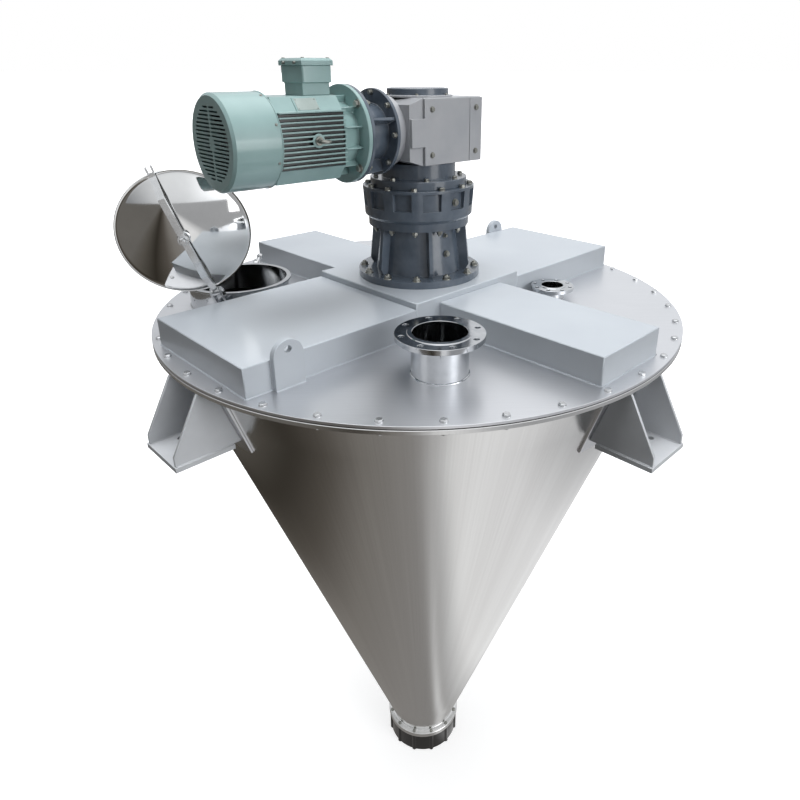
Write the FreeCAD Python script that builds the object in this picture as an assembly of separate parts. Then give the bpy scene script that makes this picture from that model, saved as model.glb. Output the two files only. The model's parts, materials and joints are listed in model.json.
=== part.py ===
import FreeCAD, Part
import math
import os

# Double spiral cone mixer: a conical vessel that hangs on four brackets, with a flat bolted cover,
# a cross of box beams that carries the drive, and two inclined screws on swing arms inside.
# Millimetres, +Z up. Heights in the functions count from the gasket plane of the cover; every solid
# is lifted by datum_height when it is saved, which puts the origin on the brackets' seating plane.

V = FreeCAD.Vector
os.makedirs("parts", exist_ok=True)

# vessel and cover
shell_wall = 8.0
outlet_neck_radius = 180.446
vessel_depth = 2840.0
rim_radius = 1235.0
rim_ledge = 60.0
vessel_flange_thickness = 18.0
gasket_thickness = 4.0
gasket_width = 22.0
cover_thickness = 12.0
rim_bolt_inset = 30.0
rim_bolt_count = 36
rim_bolt_flats = 24.0
rim_bolt_head = 10.0
rim_nut_height = 14.0
rim_bolt_angle = 5.0

# support brackets
bracket_count = 4
bracket_azimuth = 45.0
foot_inset = 62.0
foot_length = 239.0
foot_half_width = 126.0
foot_thickness = 20.0
foot_drop = 278.0
foot_bolt_inset = 129.0
foot_bolt_offset = 70.0
foot_bolt_hole = 13.0
rib_thickness = 12.0
rib_inset = 8.0
rib_overhang = 57.0
rib_root = 60.0
rib_toe_height = 40.0
pad_thickness = 10.0
pad_half_width = 140.0
pad_overhang = 62.0

# cross beams and drive pedestal
pedestal_side = 680.0
pedestal_height = 145.0
pedestal_plate = 25.0
pedestal_bore = 165.0
beam_wall = 10.0
beam_height = 119.0
beam_inset = 19.0
narrow_beam_width = 408.0
lug_width = 124.0
lug_thickness = 25.0
lug_rise = 66.0
lug_inset = 170.0
lug_hole = 14.0

# nozzles
inlet_x = 95.0
inlet_inset = 401.0
inlet_height = 167.0
inlet_pipe_radius = 109.5
inlet_wall = 6.0
inlet_flange_radius = 170.0
inlet_flange_thickness = 22.0
inlet_bolt_circle = 147.5
inlet_bolt_hole = 11.0
inlet_hole_angle = 17.0
raised_face = 3.0
vent_inset = 574.0
vent_y = 28.0
vent_height = 66.0
vent_pipe_radius = 57.0
vent_wall = 4.0
vent_flange_radius = 105.0
vent_flange_thickness = 18.0
vent_bolt_circle = 87.5
vent_bolt_hole = 9.5
nozzle_bolt_count = 8

# manhole
manhole_inset = 353.0
manhole_y = -9.0
manhole_radius = 235.0
manhole_wall = 8.0
manhole_height = 116.0
manhole_rim = 248.0
manhole_rim_thickness = 10.0
hinge_azimuth = 267.4
hinge_reach = 295.0
hinge_rise = 26.0
hinge_tilt_angle = 16.0
hinge_pin_radius = 8.0
knuckle_radius = 18.0
knuckle_half = 17.0
hinge_gap = 0.3
running_gap = 0.05
lid_radius = 271.0
lid_wall = 5.0
lid_dish = 52.0
lid_band = 16.0
lid_shoulder = 150.0
lid_gasket = 6.0
lid_open_angle = 102.2
bar_half_width = 13.0
bar_end_half = 14.0
bar_depth = 24.0
bar_stand_off = 12.0
bar_tip = 300.0
catch_reach = 284.0
catch_eye_radius = 14.0
catch_bolt_radius = 8.0
catch_eye_half = 9.0
catch_lean_angle = 70.0
catch_drop = 14.0
catch_pin_radius = 6.0
ear_thickness = 10.0
ear_margin = 10.0
ear_flare = 30.0
ear_clearance = 4.0
hinge_ear_drop = 12.0
catch_ear_drop = 2.0

# outlet valve
outlet_flange_radius = 222.0
outlet_flange_thickness = 28.0
valve_radius = 212.0
valve_bore = 155.0
liner_wall = 6.0
valve_height = 127.0
valve_lug_radius = 14.0
valve_bolt_circle = 207.0
valve_bolt_count = 12
valve_bolt_flats = 17.0
valve_bolt_head = 8.0
valve_tap_radius = 5.1
valve_tap_depth = 24.0
disc_gap = 0.8
disc_thickness = 16.0
stem_radius = 14.0
stem_boss_radius = 26.0
stem_boss_reach = 236.0
stem_square = 18.0
stem_reach = 268.0

# cycloid reducer
reducer_flange_radius = 290.0
reducer_flange_thickness = 32.0
reducer_bolt_circle = 265.0
reducer_bolt_count = 12
reducer_bolt_angle = 29.0
reducer_bolt_flats = 27.0
reducer_bolt_head = 13.0
trunk_bottom_radius = 205.0
trunk_top_radius = 178.0
trunk_height = 247.0
reducer_rib_count = 6
reducer_rib_angle = 44.5
reducer_rib_bottom = 246.0
reducer_rib_top = 226.0
reducer_rib_thickness = 16.0
collar_radius = 234.0
collar_height = 34.0
ring_bottom_radius = 250.0
ring_top_radius = 257.0
ring_height = 146.0
pocket_count = 12
pocket_first_angle = 15.0
pocket_angle = 19.0
pocket_height = 76.0
pocket_depth = 13.0
pocket_base = 58.0
ring_bolt_count = 12
ring_bolt_angle = 27.0
ring_bolt_circle = 236.0
ring_bolt_flats = 22.0
ring_bolt_head = 11.0
collar_nut_circle = 215.0
collar_nut_height = 16.0
input_plate_radius = 222.0
input_plate_height = 36.0
input_neck_radius = 170.0
input_neck_height = 67.0
output_shaft_radius = 45.0

# right-angle gearbox
drive_azimuth = 221.7
gearbox_half_width = 172.0
gearbox_front = 191.0
gearbox_back = 221.0
gearbox_height = 275.0
gearbox_nose = 74.0
gearbox_nose_drop = 24.0
side_cover_thickness = 14.0
side_cover_back = 143.0
side_cover_inset = 2.0
side_cover_notch = 80.0
cover_bolt_flats = 19.0
cover_bolt_head = 7.0
cover_bolt_front = 77.0
cover_bolt_back = 181.0
cover_bolt_rise = 93.0
snout_reach = 240.0
snout_radius = 150.0
cap_flange_radius = 154.0
cap_flange_height = 8.0
cap_radius = 136.0
cap_height = 28.0

# motor adaptor and motor
adaptor_small_radius = 177.0
adaptor_small_thickness = 16.0
adaptor_length = 155.0
adaptor_core_radius = 118.0
adaptor_web_count = 4
adaptor_web_angle = 22.0
adaptor_web_thickness = 12.0
motor_flange_radius = 195.0
motor_flange_thickness = 18.0
motor_bolt_circle = 175.0
motor_bolt_flats = 24.0
motor_bolt_head = 12.0
motor_bolt_angle = 45.0
bell_length = 78.0
bell_radius = 148.0
frame_length = 285.0
frame_half_width = 140.0
frame_shoulder = 98.0
stator_bore = 92.0
fin_count = 12
fin_pitch = 17.2
fin_offset = 8.6
fin_thickness = 6.0
fin_reach = 158.0
pad_half = 92.0
motor_pad_reach = 157.0
rear_shield_radius = 142.0
rear_shield_length = 24.0
cowl_radius = 175.0
cowl_length = 190.0
cowl_wall = 3.0
cowl_bevel = 10.0
grille_rows = 19
grille_pitch = 14.0
grille_slot = 6.5
grille_radius = 134.0
grille_spine = 12.0
fan_radius = 145.0
fan_blades = 7
fan_width = 46.0
fan_hub_radius = 40.0
fan_blade_thickness = 5.0
rotor_radius = 60.0
rotor_gap = 0.8
core_inset = 34.0
motor_bearing_width = 22.0
motor_shaft_radius = 24.0
shaft_socket = 84.0
shaft_end_gap = 60.0
terminal_start = 4.0
terminal_length = 128.0
terminal_width = 160.0
terminal_neck_height = 45.0
terminal_body_height = 60.0
terminal_lid_height = 26.0
terminal_lid_lip = 5.0
terminal_lid_chamfer = 9.0
terminal_corner = 8.0
eye_outer = 24.0
eye_inner = 14.0
eye_thickness = 14.0
eye_stem_radius = 6.0
eye_stem_length = 19.0
eye_boss_radius = 26.0
eye_place = 127.0

# swing head and screws
spindle_housing_radius = 100.0
spindle_flange_radius = 150.0
spindle_flange_thickness = 24.0
spindle_housing_drop = 140.0
spindle_bearing_radius = 70.0
spindle_bearing_width = 30.0
spindle_relief = 6.0
hub_radius = 165.0
hub_top = 148.0
hub_height = 270.0
hub_flat = 153.0
arm_azimuth = 70.0
arm_axis_drop = 300.0
arm_tube_radius = 74.0
screw_clearance = 15.0
flight_radius = 150.0
flight_thickness = 8.0
flight_pitch = 290.0
flight_facets = 20
screw_shaft_radius = 38.0
screw_end_clearance = 150.0
sleeve_radius = 84.0
sleeve_above = 100.0
sleeve_below = 116.0
sleeve_bore = 62.0
sleeve_bearing_width = 28.0
flight_start = 180.0
shaft_tip = 24.0
cap_plate_thickness = 14.0

# derived sizes
vessel_radius = rim_radius - rim_ledge
cone_slope = (vessel_radius - outlet_neck_radius) / vessel_depth
cone_half_angle = math.degrees(math.atan(cone_slope))
cone_cosine = math.cos(math.radians(cone_half_angle))
wall_across = shell_wall / cone_cosine
rim_bolt_circle = rim_radius - rim_bolt_inset
foot_inner = vessel_radius - foot_inset
foot_outer = foot_inner + foot_length
foot_bolt_reach = foot_inner + foot_bolt_inset
rib_shoulder = vessel_radius + rib_overhang
beam_reach = vessel_radius - beam_inset
lug_position = beam_reach - lug_inset
inlet_y = inlet_inset - rim_radius
vent_x = rim_radius - vent_inset
manhole_x = manhole_inset - rim_radius
datum_height = foot_drop + foot_thickness
flange_top = -gasket_thickness
flange_bottom = flange_top - vessel_flange_thickness
deck = cover_thickness
beam_top = deck + beam_height
pedestal_top = deck + pedestal_height
reducer_base = pedestal_top
trunk_base = reducer_base + reducer_flange_thickness
ring_base = trunk_base + trunk_height
ring_top = ring_base + ring_height
gearbox_base = ring_top + input_plate_height + input_neck_height
gearbox_top = gearbox_base + gearbox_height
motor_height = gearbox_base + gearbox_height / 2
adaptor_start = snout_reach
motor_start = adaptor_start + adaptor_length
bell_start = motor_start + motor_flange_thickness
frame_start = bell_start + bell_length
frame_end = frame_start + frame_length
cowl_start = frame_end
cowl_end = cowl_start + cowl_length
outlet_top = -vessel_depth + outlet_flange_thickness
valve_bottom = -vessel_depth - valve_height
manhole_top = deck + manhole_height
hinge_height = manhole_top + hinge_rise
# the screw axis runs parallel to the inner wall, one flight radius and a clearance away from it
axis_inset = wall_across + (flight_radius + screw_clearance) / cone_cosine
arm_reach = vessel_radius - arm_axis_drop * cone_slope - axis_inset
# whole turns of flight fill the long screw down to a clearance above the outlet, half of them the short one
screw_run = (vessel_depth - arm_axis_drop - screw_end_clearance) / cone_cosine - flight_start - shaft_tip
long_screw_turns = int(screw_run / flight_pitch)
short_screw_turns = long_screw_turns // 2


def cone_radius(height):
    """Outer radius of the vessel shell at a height."""
    return vessel_radius + height * cone_slope


def cylinder(radius, height, at=V(0, 0, 0), along=V(0, 0, 1)):
    return Part.makeCylinder(radius, height, at, along)


def tube(outer, inner, height, at=V(0, 0, 0), along=V(0, 0, 1)):
    start = at - along * 1.0
    return cylinder(outer, height, at, along).cut(cylinder(inner, height + 2.0, start, along))


def revolved(points, angle=360.0):
    """Solid of revolution about Z from (radius, height) corners."""
    outline = Part.makePolygon([V(r, 0, z) for r, z in points + points[:1]])
    return Part.Face(outline).revolve(V(0, 0, 0), V(0, 0, 1), angle)


def block(x0, x1, y0, y1, z0, z1):
    return Part.makeBox(x1 - x0, y1 - y0, z1 - z0, V(x0, y0, z0))


def slab(points, thickness, direction):
    """Flat plate from a closed outline, thickened along a direction."""
    outline = Part.makePolygon(points + points[:1])
    return Part.Face(outline).extrude(direction * thickness)


def hexagon(flats, height, at=V(0, 0, 0), turn=0.0):
    radius = flats / math.sqrt(3.0)
    corners = []
    for k in range(6):
        a = math.radians(turn + 60 * k)
        corners.append(V(at.x + radius * math.cos(a), at.y + radius * math.sin(a), at.z))
    return slab(corners, height, V(0, 0, 1))


def turned(shape, angle, centre=V(0, 0, 0), axis=V(0, 0, 1)):
    copy = shape.copy()
    copy.rotate(centre, axis, angle)
    return copy


def moved(shape, x, y, z):
    copy = shape.copy()
    copy.translate(V(x, y, z))
    return copy


def around(shape, count, first=0.0):
    """Copies of a shape evenly spaced about the Z axis."""
    return [turned(shape, first + 360.0 * k / count) for k in range(count)]


def cut_all(shape, tools):
    return shape.cut(Part.makeCompound(tools)) if tools else shape


def save(name, solids):
    """Write one node, lifted from the gasket plane to the brackets' seating plane."""
    if not isinstance(solids, list):
        solids = [solids]
    shape = Part.makeCompound(solids) if len(solids) > 1 else solids[0]
    shape = moved(shape, 0, 0, datum_height)
    shape.exportStep("parts/" + name + ".step")


# Vessel: rolled cone with its bolting flange at the top and the outlet flange at the bottom.
def vessel():
    low = -vessel_depth
    outer_top = cone_radius(flange_top)
    outline = [
        (outer_top - wall_across, flange_top),
        (rim_radius, flange_top),
        (rim_radius, flange_bottom),
        (cone_radius(flange_bottom), flange_bottom),
        (cone_radius(outlet_top), outlet_top),
        (outlet_flange_radius, outlet_top),
        (outlet_flange_radius, low),
        (valve_bore, low),
        (cone_radius(outlet_top) - wall_across, outlet_top),
    ]
    save("vessel_shell", revolved(outline))


def cover_gasket():
    inner = cone_radius(flange_top) - wall_across
    ring = tube(inner + gasket_width, inner, gasket_thickness, V(0, 0, flange_top))
    save("cover_gasket", ring)


def cover():
    plate = cylinder(rim_radius, cover_thickness)
    openings = [
        cylinder(spindle_housing_radius + hinge_gap, cover_thickness),
        cylinder(manhole_radius, cover_thickness, V(manhole_x, manhole_y, 0)),
        cylinder(inlet_pipe_radius, cover_thickness, V(inlet_x, inlet_y, 0)),
        cylinder(vent_pipe_radius, cover_thickness, V(vent_x, vent_y, 0)),
    ]
    save("cover_plate", cut_all(plate, openings))


def rim_fasteners():
    head = hexagon(rim_bolt_flats, rim_bolt_head, V(rim_bolt_circle, 0, deck), 30)
    nut_low = flange_bottom - rim_nut_height
    nut = hexagon(rim_bolt_flats, rim_nut_height, V(rim_bolt_circle, 0, nut_low), 30)
    heads = around(head, rim_bolt_count, rim_bolt_angle)
    save("cover_bolts", heads + around(nut, rim_bolt_count, rim_bolt_angle))


# Support brackets: a pad rolled to the cone, two ribs and a foot plate with two bolt holes.
def support_brackets():
    foot_top = -foot_drop
    across = 1.0 / cone_cosine
    pad_low = foot_top - pad_overhang
    pad_high = flange_bottom - 1.0
    outline = []
    for height, extra in ((pad_low, 0), (pad_high, 0), (pad_high, pad_thickness), (pad_low, pad_thickness)):
        outline.append((cone_radius(height) + extra * across, height))
    pad_angle = 2 * math.degrees(math.asin(pad_half_width / cone_radius(foot_top)))
    pad = turned(revolved(outline, pad_angle), -pad_angle / 2)

    foot_low = foot_top - foot_thickness
    foot = block(foot_inner, foot_outer, -foot_half_width, foot_half_width, foot_low, foot_top)
    holes = []
    for side in (-1, 1):
        hole_at = V(foot_bolt_reach, side * foot_bolt_offset, foot_top - foot_thickness)
        holes.append(cylinder(foot_bolt_hole, foot_thickness, hole_at))
    foot = cut_all(foot, holes)

    inner = cone_radius(foot_top) - rib_root
    toe = foot_outer - rib_inset / 2
    rib_plane = -foot_half_width + rib_inset
    corners = [
        V(inner, rib_plane, foot_top),
        V(toe, rib_plane, foot_top),
        V(toe, rib_plane, foot_top + rib_toe_height),
        V(rib_shoulder, rib_plane, flange_bottom),
        V(inner, rib_plane, flange_bottom),
    ]
    rib = slab(corners, rib_thickness, V(0, 1, 0))
    pad_face = [
        (0, foot_top - 10.0),
        (cone_radius(foot_top - 10.0) + pad_thickness * across, foot_top - 10.0),
        (cone_radius(flange_bottom) + pad_thickness * across, flange_bottom),
        (0, flange_bottom),
    ]
    rib = rib.cut(revolved(pad_face))
    pair = [rib, rib.mirror(V(0, 0, 0), V(0, 1, 0))]

    feet, ribs, pads = [], [], []
    for k in range(bracket_count):
        angle = bracket_azimuth + 360.0 * k / bracket_count
        feet.append(turned(foot, angle))
        pads.append(turned(pad, angle))
        ribs += [turned(one, angle) for one in pair]
    save("bracket_feet", feet)
    save("bracket_ribs", ribs)
    save("bracket_pads", pads)


# Drive pedestal and the four box beams that spread its load to the rim, welded up from plates.
def pedestal():
    half = pedestal_side / 2
    inner = half - beam_wall
    plate_low = pedestal_top - pedestal_plate
    top = block(-half, half, -half, half, plate_low, pedestal_top)
    plates = [top.cut(cylinder(pedestal_bore, pedestal_plate, V(0, 0, plate_low)))]
    for side in (-1, 1):
        y0 = inner if side > 0 else -half
        plates.append(block(-half, half, y0, y0 + beam_wall, deck, plate_low))
        plates.append(block(y0, y0 + beam_wall, -inner, inner, deck, plate_low))
    save("drive_pedestal", [turned(one, bracket_azimuth) for one in plates])


def beam(width):
    half = width / 2
    start = pedestal_side / 2
    plate_low = beam_top - beam_wall
    plates = [block(start, beam_reach, -half, half, plate_low, beam_top)]
    inside = half - beam_wall
    plates.append(block(beam_reach - beam_wall, beam_reach, -inside, inside, deck, plate_low))
    for y0 in (-half, half - beam_wall):
        plates.append(block(start, beam_reach, y0, y0 + beam_wall, deck, plate_low))
    return plates


def cross_beams():
    for name, width, first in (("wide_beams", pedestal_side, 0), ("narrow_beams", narrow_beam_width, 90)):
        plates = []
        for half_turn in (0, 180):
            plates += [turned(one, bracket_azimuth + first + half_turn) for one in beam(width)]
        save(name, plates)


def lifting_lugs():
    half = lug_width / 2
    face = pedestal_side / 2
    crown = beam_top + lug_rise - half
    plate = block(lug_position - half, lug_position + half, face, face + lug_thickness, deck, crown)
    top = cylinder(half, lug_thickness, V(lug_position, face, crown), V(0, 1, 0))
    eye = cylinder(lug_hole, lug_thickness, V(lug_position, face, crown + half * 0.4), V(0, 1, 0))
    lug = plate.fuse(top).removeSplitter().cut(eye)
    save("lifting_lugs", [turned(lug, bracket_azimuth + 180), turned(lug, bracket_azimuth)])


# Flanged nozzles with a raised sealing face.
def nozzle(pipe_radius, wall, flange_radius, thickness, height, circle, hole, first):
    face = deck + height
    seat = (pipe_radius + circle - hole) / 2
    bore = pipe_radius - wall
    outline = [
        (bore, 0),
        (pipe_radius, 0),
        (pipe_radius, face - raised_face - thickness),
        (flange_radius, face - raised_face - thickness),
        (flange_radius, face - raised_face),
        (seat, face - raised_face),
        (seat, face),
        (bore, face),
    ]
    body = revolved(outline)
    drill = cylinder(hole, thickness, V(circle, 0, face - raised_face - thickness))
    return cut_all(body, around(drill, nozzle_bolt_count, first))


def nozzles():
    inlet = nozzle(inlet_pipe_radius, inlet_wall, inlet_flange_radius, inlet_flange_thickness, inlet_height,
                   inlet_bolt_circle, inlet_bolt_hole, inlet_hole_angle)
    vent = nozzle(vent_pipe_radius, vent_wall, vent_flange_radius, vent_flange_thickness, vent_height,
                  vent_bolt_circle, vent_bolt_hole, 22.5)
    save("inlet_nozzle", moved(inlet, inlet_x, inlet_y, 0))
    save("vent_nozzle", moved(vent, vent_x, vent_y, 0))


# Manhole. Everything is built with the hinge towards +X, then turned to the hinge azimuth.
def at_manhole(shape):
    return moved(turned(shape, hinge_azimuth), manhole_x, manhole_y, 0)


def on_hinge(shape):
    """Lean a piece built about a level hinge pin: the pin is tilted, so the open lid leans aside."""
    return turned(shape, hinge_tilt_angle, V(hinge_reach, 0, hinge_height), V(1, 0, 0))


def opened(shape):
    """Swing a piece of the lid about the tilted pin from shut to its photographed angle."""
    tilt = math.radians(hinge_tilt_angle)
    pin_axis = V(0, math.cos(tilt), math.sin(tilt))
    return turned(shape, lid_open_angle, V(hinge_reach, 0, hinge_height), pin_axis)


def manhole_neck():
    rim_low = manhole_top - manhole_rim_thickness
    bore = manhole_radius - manhole_wall
    outline = [
        (bore, 0),
        (manhole_radius, 0),
        (manhole_radius, rim_low),
        (manhole_rim, rim_low),
        (manhole_rim, manhole_top),
        (bore, manhole_top),
    ]
    save("manhole_neck", at_manhole(revolved(outline)))


def ears(reach, height, gap, pin_radius, under_rim):
    """Two plates either side of a pin along Y that passes through them, welded to the neck under its rim."""
    tip = pin_radius + ear_margin
    root = manhole_radius - ear_margin
    shoulder = manhole_top - manhole_rim_thickness - under_rim
    inner = lid_radius + ear_clearance
    heel = min(height, shoulder) - tip
    pair = []
    for near in (gap, -gap - ear_thickness):
        corners = [
            V(root, near, heel - ear_flare),
            V(reach, near, heel),
            V(reach + tip, near, height),
            V(reach, near, height + tip),
            V(inner, near, height),
            V(inner, near, shoulder),
            V(root, near, shoulder),
        ]
        plate = slab(corners, ear_thickness, V(0, 1, 0))
        bore = cylinder(pin_radius + running_gap, ear_thickness, V(reach, near, height), V(0, 1, 0))
        pair.append(plate.cut(bore))
    return pair


def pin(reach, height, gap, radius):
    length = 2 * (gap + ear_thickness + 4.0)
    return cylinder(radius, length, V(reach, -length / 2, height), V(0, 1, 0))


def manhole_pivots():
    hinge_half = knuckle_half + hinge_gap
    catch_half = catch_eye_half + hinge_gap
    catch_height = manhole_top - catch_drop
    leaning = ears(hinge_reach, hinge_height, hinge_half, hinge_pin_radius, hinge_ear_drop)
    upright = ears(catch_reach, catch_height, catch_half, catch_pin_radius, catch_ear_drop)
    pieces = [on_hinge(one) for one in leaning] + [turned(one, 180) for one in upright]
    neck_wall = cylinder(manhole_radius, manhole_height, V(0, 0, deck))
    save("neck_ears", [at_manhole(one.cut(neck_wall)) for one in pieces])
    pins = [on_hinge(pin(hinge_reach, hinge_height, hinge_half, hinge_pin_radius))]
    pins.append(pin(-catch_reach, catch_height, catch_half, catch_pin_radius))
    save("pivot_pins", [at_manhole(one) for one in pins])


# Lid: dished plate with a rim band, in two cone strakes round a flat crown.
def manhole_lid():
    seat = manhole_top + lid_gasket
    band_top = seat + lid_band
    crown = band_top + lid_dish
    shoulder = band_top + lid_dish * 0.62
    bore = manhole_radius - manhole_wall
    outline = [
        (0, crown),
        (lid_shoulder * 0.4, crown),
        (lid_shoulder, shoulder),
        (lid_radius - 8.0, band_top),
        (lid_radius, band_top - 4.0),
        (lid_radius, seat),
        (bore, seat),
        (lid_shoulder, shoulder - lid_wall * 1.4),
        (lid_shoulder * 0.4, crown - lid_wall),
        (0, crown - lid_wall),
    ]
    save("manhole_lid", at_manhole(opened(revolved(outline))))
    ring = tube(manhole_rim, bore, lid_gasket - hinge_gap, V(0, 0, manhole_top + hinge_gap))
    save("lid_gasket", at_manhole(opened(ring)))


def clamp_bar():
    """Bar over the lid: hinged at one end, forked for the catch bolt at the other, bolted at mid-span."""
    crown = manhole_top + lid_gasket + lid_band + lid_dish
    low = crown + bar_stand_off
    high = low + bar_depth
    under = hinge_height - bar_end_half
    over = hinge_height + bar_end_half
    rim_out = lid_radius + 9.0
    rim_in = lid_radius + 1.0
    rise = manhole_top + lid_gasket + lid_band + 2.0
    bend = lid_radius * 0.68
    half = bar_half_width
    side_view = [
        (hinge_reach, under),
        (hinge_reach, over),
        (rim_out, over),
        (bend, high),
        (-bend, high),
        (-catch_reach + 24.0, over),
        (-bar_tip, over),
        (-bar_tip, under),
        (-rim_out, under),
        (-rim_in, rise),
        (-bend, low),
        (bend, low),
        (rim_in, rise),
        (rim_out, under),
    ]
    bar = slab([V(x, -half, z) for x, z in side_view], 2 * half, V(0, 1, 0))
    knuckle_at = V(hinge_reach, -knuckle_half, hinge_height)
    knuckle = cylinder(knuckle_radius, 2 * knuckle_half, knuckle_at, V(0, 1, 0))
    bar = bar.fuse(on_hinge(knuckle)).removeSplitter()
    eye = cylinder(hinge_pin_radius + running_gap, 2 * knuckle_half, knuckle_at, V(0, 1, 0))
    side = catch_bolt_radius + 2.0
    fork = block(-bar_tip, -catch_reach + side, -side, side, under, high)
    save("clamp_bar", at_manhole(opened(bar.cut(on_hinge(eye)).cut(fork))))
    boss = cylinder(26.0, bar_stand_off, V(0, 0, crown))
    nut = hexagon(30.0, 20.0, V(0, 0, high))
    save("lid_centre_bolt", [at_manhole(opened(one)) for one in (boss, nut)])


def catch():
    """Swing bolt on the far side of the neck: leans out at rest, stands up in the bar's fork when shut."""
    pivot = V(-catch_reach, 0, manhole_top - catch_drop)
    nut_seat = hinge_height + bar_end_half + 1.0
    rod = cylinder(catch_bolt_radius, nut_seat + 26.0 - pivot.z, pivot)
    eye_at = V(pivot.x, -catch_eye_half, pivot.z)
    eye = cylinder(catch_eye_radius, 2 * catch_eye_half, eye_at, V(0, 1, 0))
    rod = rod.fuse(eye).removeSplitter()
    hole = cylinder(catch_pin_radius + running_gap, 2 * catch_eye_half, eye_at, V(0, 1, 0))
    nut = hexagon(28.0, 18.0, V(pivot.x, 0, nut_seat))
    nut = nut.cut(cylinder(catch_bolt_radius + running_gap, 18.0, V(pivot.x, 0, nut_seat)))
    for name, piece in (("catch_bolt", rod.cut(hole)), ("catch_nut", nut)):
        save(name, at_manhole(turned(piece, -catch_lean_angle, pivot, V(0, 1, 0))))


# Outlet: lug-type butterfly valve bolted under the outlet flange. Its lugs are tapped from below.
def outlet_valve():
    top = -vessel_depth
    mid = (top + valve_bottom) / 2
    body = cylinder(valve_radius, valve_height, V(0, 0, valve_bottom))
    lug = cylinder(valve_lug_radius, valve_height, V(valve_bolt_circle, 0, valve_bottom))
    half = valve_lug_radius
    root = block(valve_radius - 20.0, valve_bolt_circle, -half, half, valve_bottom, top)
    lugs = around(lug.fuse(root), valve_bolt_count, 180.0 / valve_bolt_count)
    boss = cylinder(stem_boss_radius, stem_boss_reach, V(0, 0, mid), V(0, 1, 0))
    body = body.fuse(lugs + [boss]).removeSplitter()
    body = body.cut(cylinder(valve_bore + liner_wall, valve_height, V(0, 0, valve_bottom)))
    stem_start = -valve_radius + 12.0
    passage_length = stem_boss_reach - stem_start
    passage = cylinder(stem_radius + running_gap, passage_length, V(0, stem_start, mid), V(0, 1, 0))
    tapped = cylinder(valve_tap_radius, valve_tap_depth, V(valve_bolt_circle, 0, valve_bottom))
    taps = around(tapped, valve_bolt_count, 180.0 / valve_bolt_count)
    save("valve_body", cut_all(body, [passage] + taps))
    liner = tube(valve_bore + liner_wall, valve_bore, valve_height, V(0, 0, valve_bottom))
    save("valve_liner", liner.cut(passage))

    radius = valve_bore - disc_gap
    half = disc_thickness / 2
    edge = [(0, mid - half), (radius - 30.0, mid - half), (radius, mid - 3.0), (radius, mid + 3.0),
            (radius - 30.0, mid + half), (0, mid + half)]
    web = stem_radius + 8.0
    rib = cylinder(web, 2 * (radius - 22.0), V(0, 22.0 - radius, mid), V(0, 1, 0))
    disc = revolved(edge).fuse(rib).removeSplitter()
    disc = disc.cut(cylinder(stem_radius, 2 * radius, V(0, -radius, mid), V(0, 1, 0)))
    save("valve_disc", disc)
    stem = cylinder(stem_radius, stem_boss_reach - stem_start - 2.0, V(0, stem_start + 2.0, mid), V(0, 1, 0))
    side = stem_square / 2
    end = block(-side, side, stem_boss_reach - 1.0, stem_reach, mid - side, mid + side)
    save("valve_stem", stem.fuse(end).removeSplitter())

    head = hexagon(valve_bolt_flats, valve_bolt_head, V(valve_bolt_circle, 0, outlet_top), 30)
    save("valve_bolts", around(head, valve_bolt_count, 180.0 / valve_bolt_count))


# Cycloid reducer: ribbed output housing, pin-gear ring with pockets, input plate.
def reducer():
    rib_span = trunk_height - collar_height
    collar_base = ring_base - collar_height
    outline = [
        (0, reducer_base),
        (reducer_flange_radius, reducer_base),
        (reducer_flange_radius, trunk_base),
        (trunk_bottom_radius, trunk_base),
        (trunk_top_radius, collar_base),
        (collar_radius, collar_base),
        (collar_radius, ring_base),
        (0, ring_base),
    ]
    housing = revolved(outline)
    inner = trunk_top_radius - 20.0
    corners = [
        V(inner, -reducer_rib_thickness / 2, trunk_base),
        V(reducer_rib_bottom - 14.0, -reducer_rib_thickness / 2, trunk_base),
        V(reducer_rib_bottom, -reducer_rib_thickness / 2, trunk_base + 24.0),
        V(reducer_rib_top, -reducer_rib_thickness / 2, collar_base),
        V(inner, -reducer_rib_thickness / 2, collar_base),
    ]
    rib = slab(corners, reducer_rib_thickness, V(0, 1, 0))
    housing = housing.fuse(around(rib, reducer_rib_count, reducer_rib_angle)).removeSplitter()
    depth = rib_span * 0.6
    housing = housing.cut(cylinder(output_shaft_radius + running_gap, depth, V(0, 0, reducer_base)))
    save("reducer_output_housing", housing)

    head = hexagon(reducer_bolt_flats, reducer_bolt_head, V(reducer_bolt_circle, 0, trunk_base), 30)
    fasteners = around(head, reducer_bolt_count, reducer_bolt_angle)

    ring_outline = [
        (0, ring_base),
        (collar_radius, ring_base),
        (ring_bottom_radius, ring_base + 16.0),
        (ring_top_radius, ring_top - 14.0),
        (ring_top_radius, ring_top),
        (0, ring_top),
    ]
    ring = revolved(ring_outline)
    floor_radius = ring_bottom_radius - pocket_depth
    low = ring_base + pocket_base
    sector = revolved([(floor_radius, low), (ring_top_radius + 5.0, low),
                       (ring_top_radius + 5.0, low + pocket_height), (floor_radius, low + pocket_height)],
                      pocket_angle)
    ring = cut_all(ring, around(sector, pocket_count, pocket_first_angle - pocket_angle / 2))
    save("pin_gear_housing", ring)

    bolt = hexagon(ring_bolt_flats, ring_bolt_head, V(ring_bolt_circle, 0, ring_top), 30)
    nut_at = V(collar_nut_circle, 0, collar_base - collar_nut_height)
    nut = hexagon(ring_bolt_flats, collar_nut_height, nut_at, 30)
    fasteners += around(bolt, ring_bolt_count, ring_bolt_angle)
    fasteners += around(nut, ring_bolt_count, ring_bolt_angle)
    save("reducer_bolts", fasteners)

    plate_outline = [
        (0, ring_top),
        (input_plate_radius, ring_top),
        (input_plate_radius, ring_top + input_plate_height),
        (input_neck_radius, ring_top + input_plate_height),
        (input_neck_radius, gearbox_base),
        (0, gearbox_base),
    ]
    save("reducer_input_plate", revolved(plate_outline))


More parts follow.
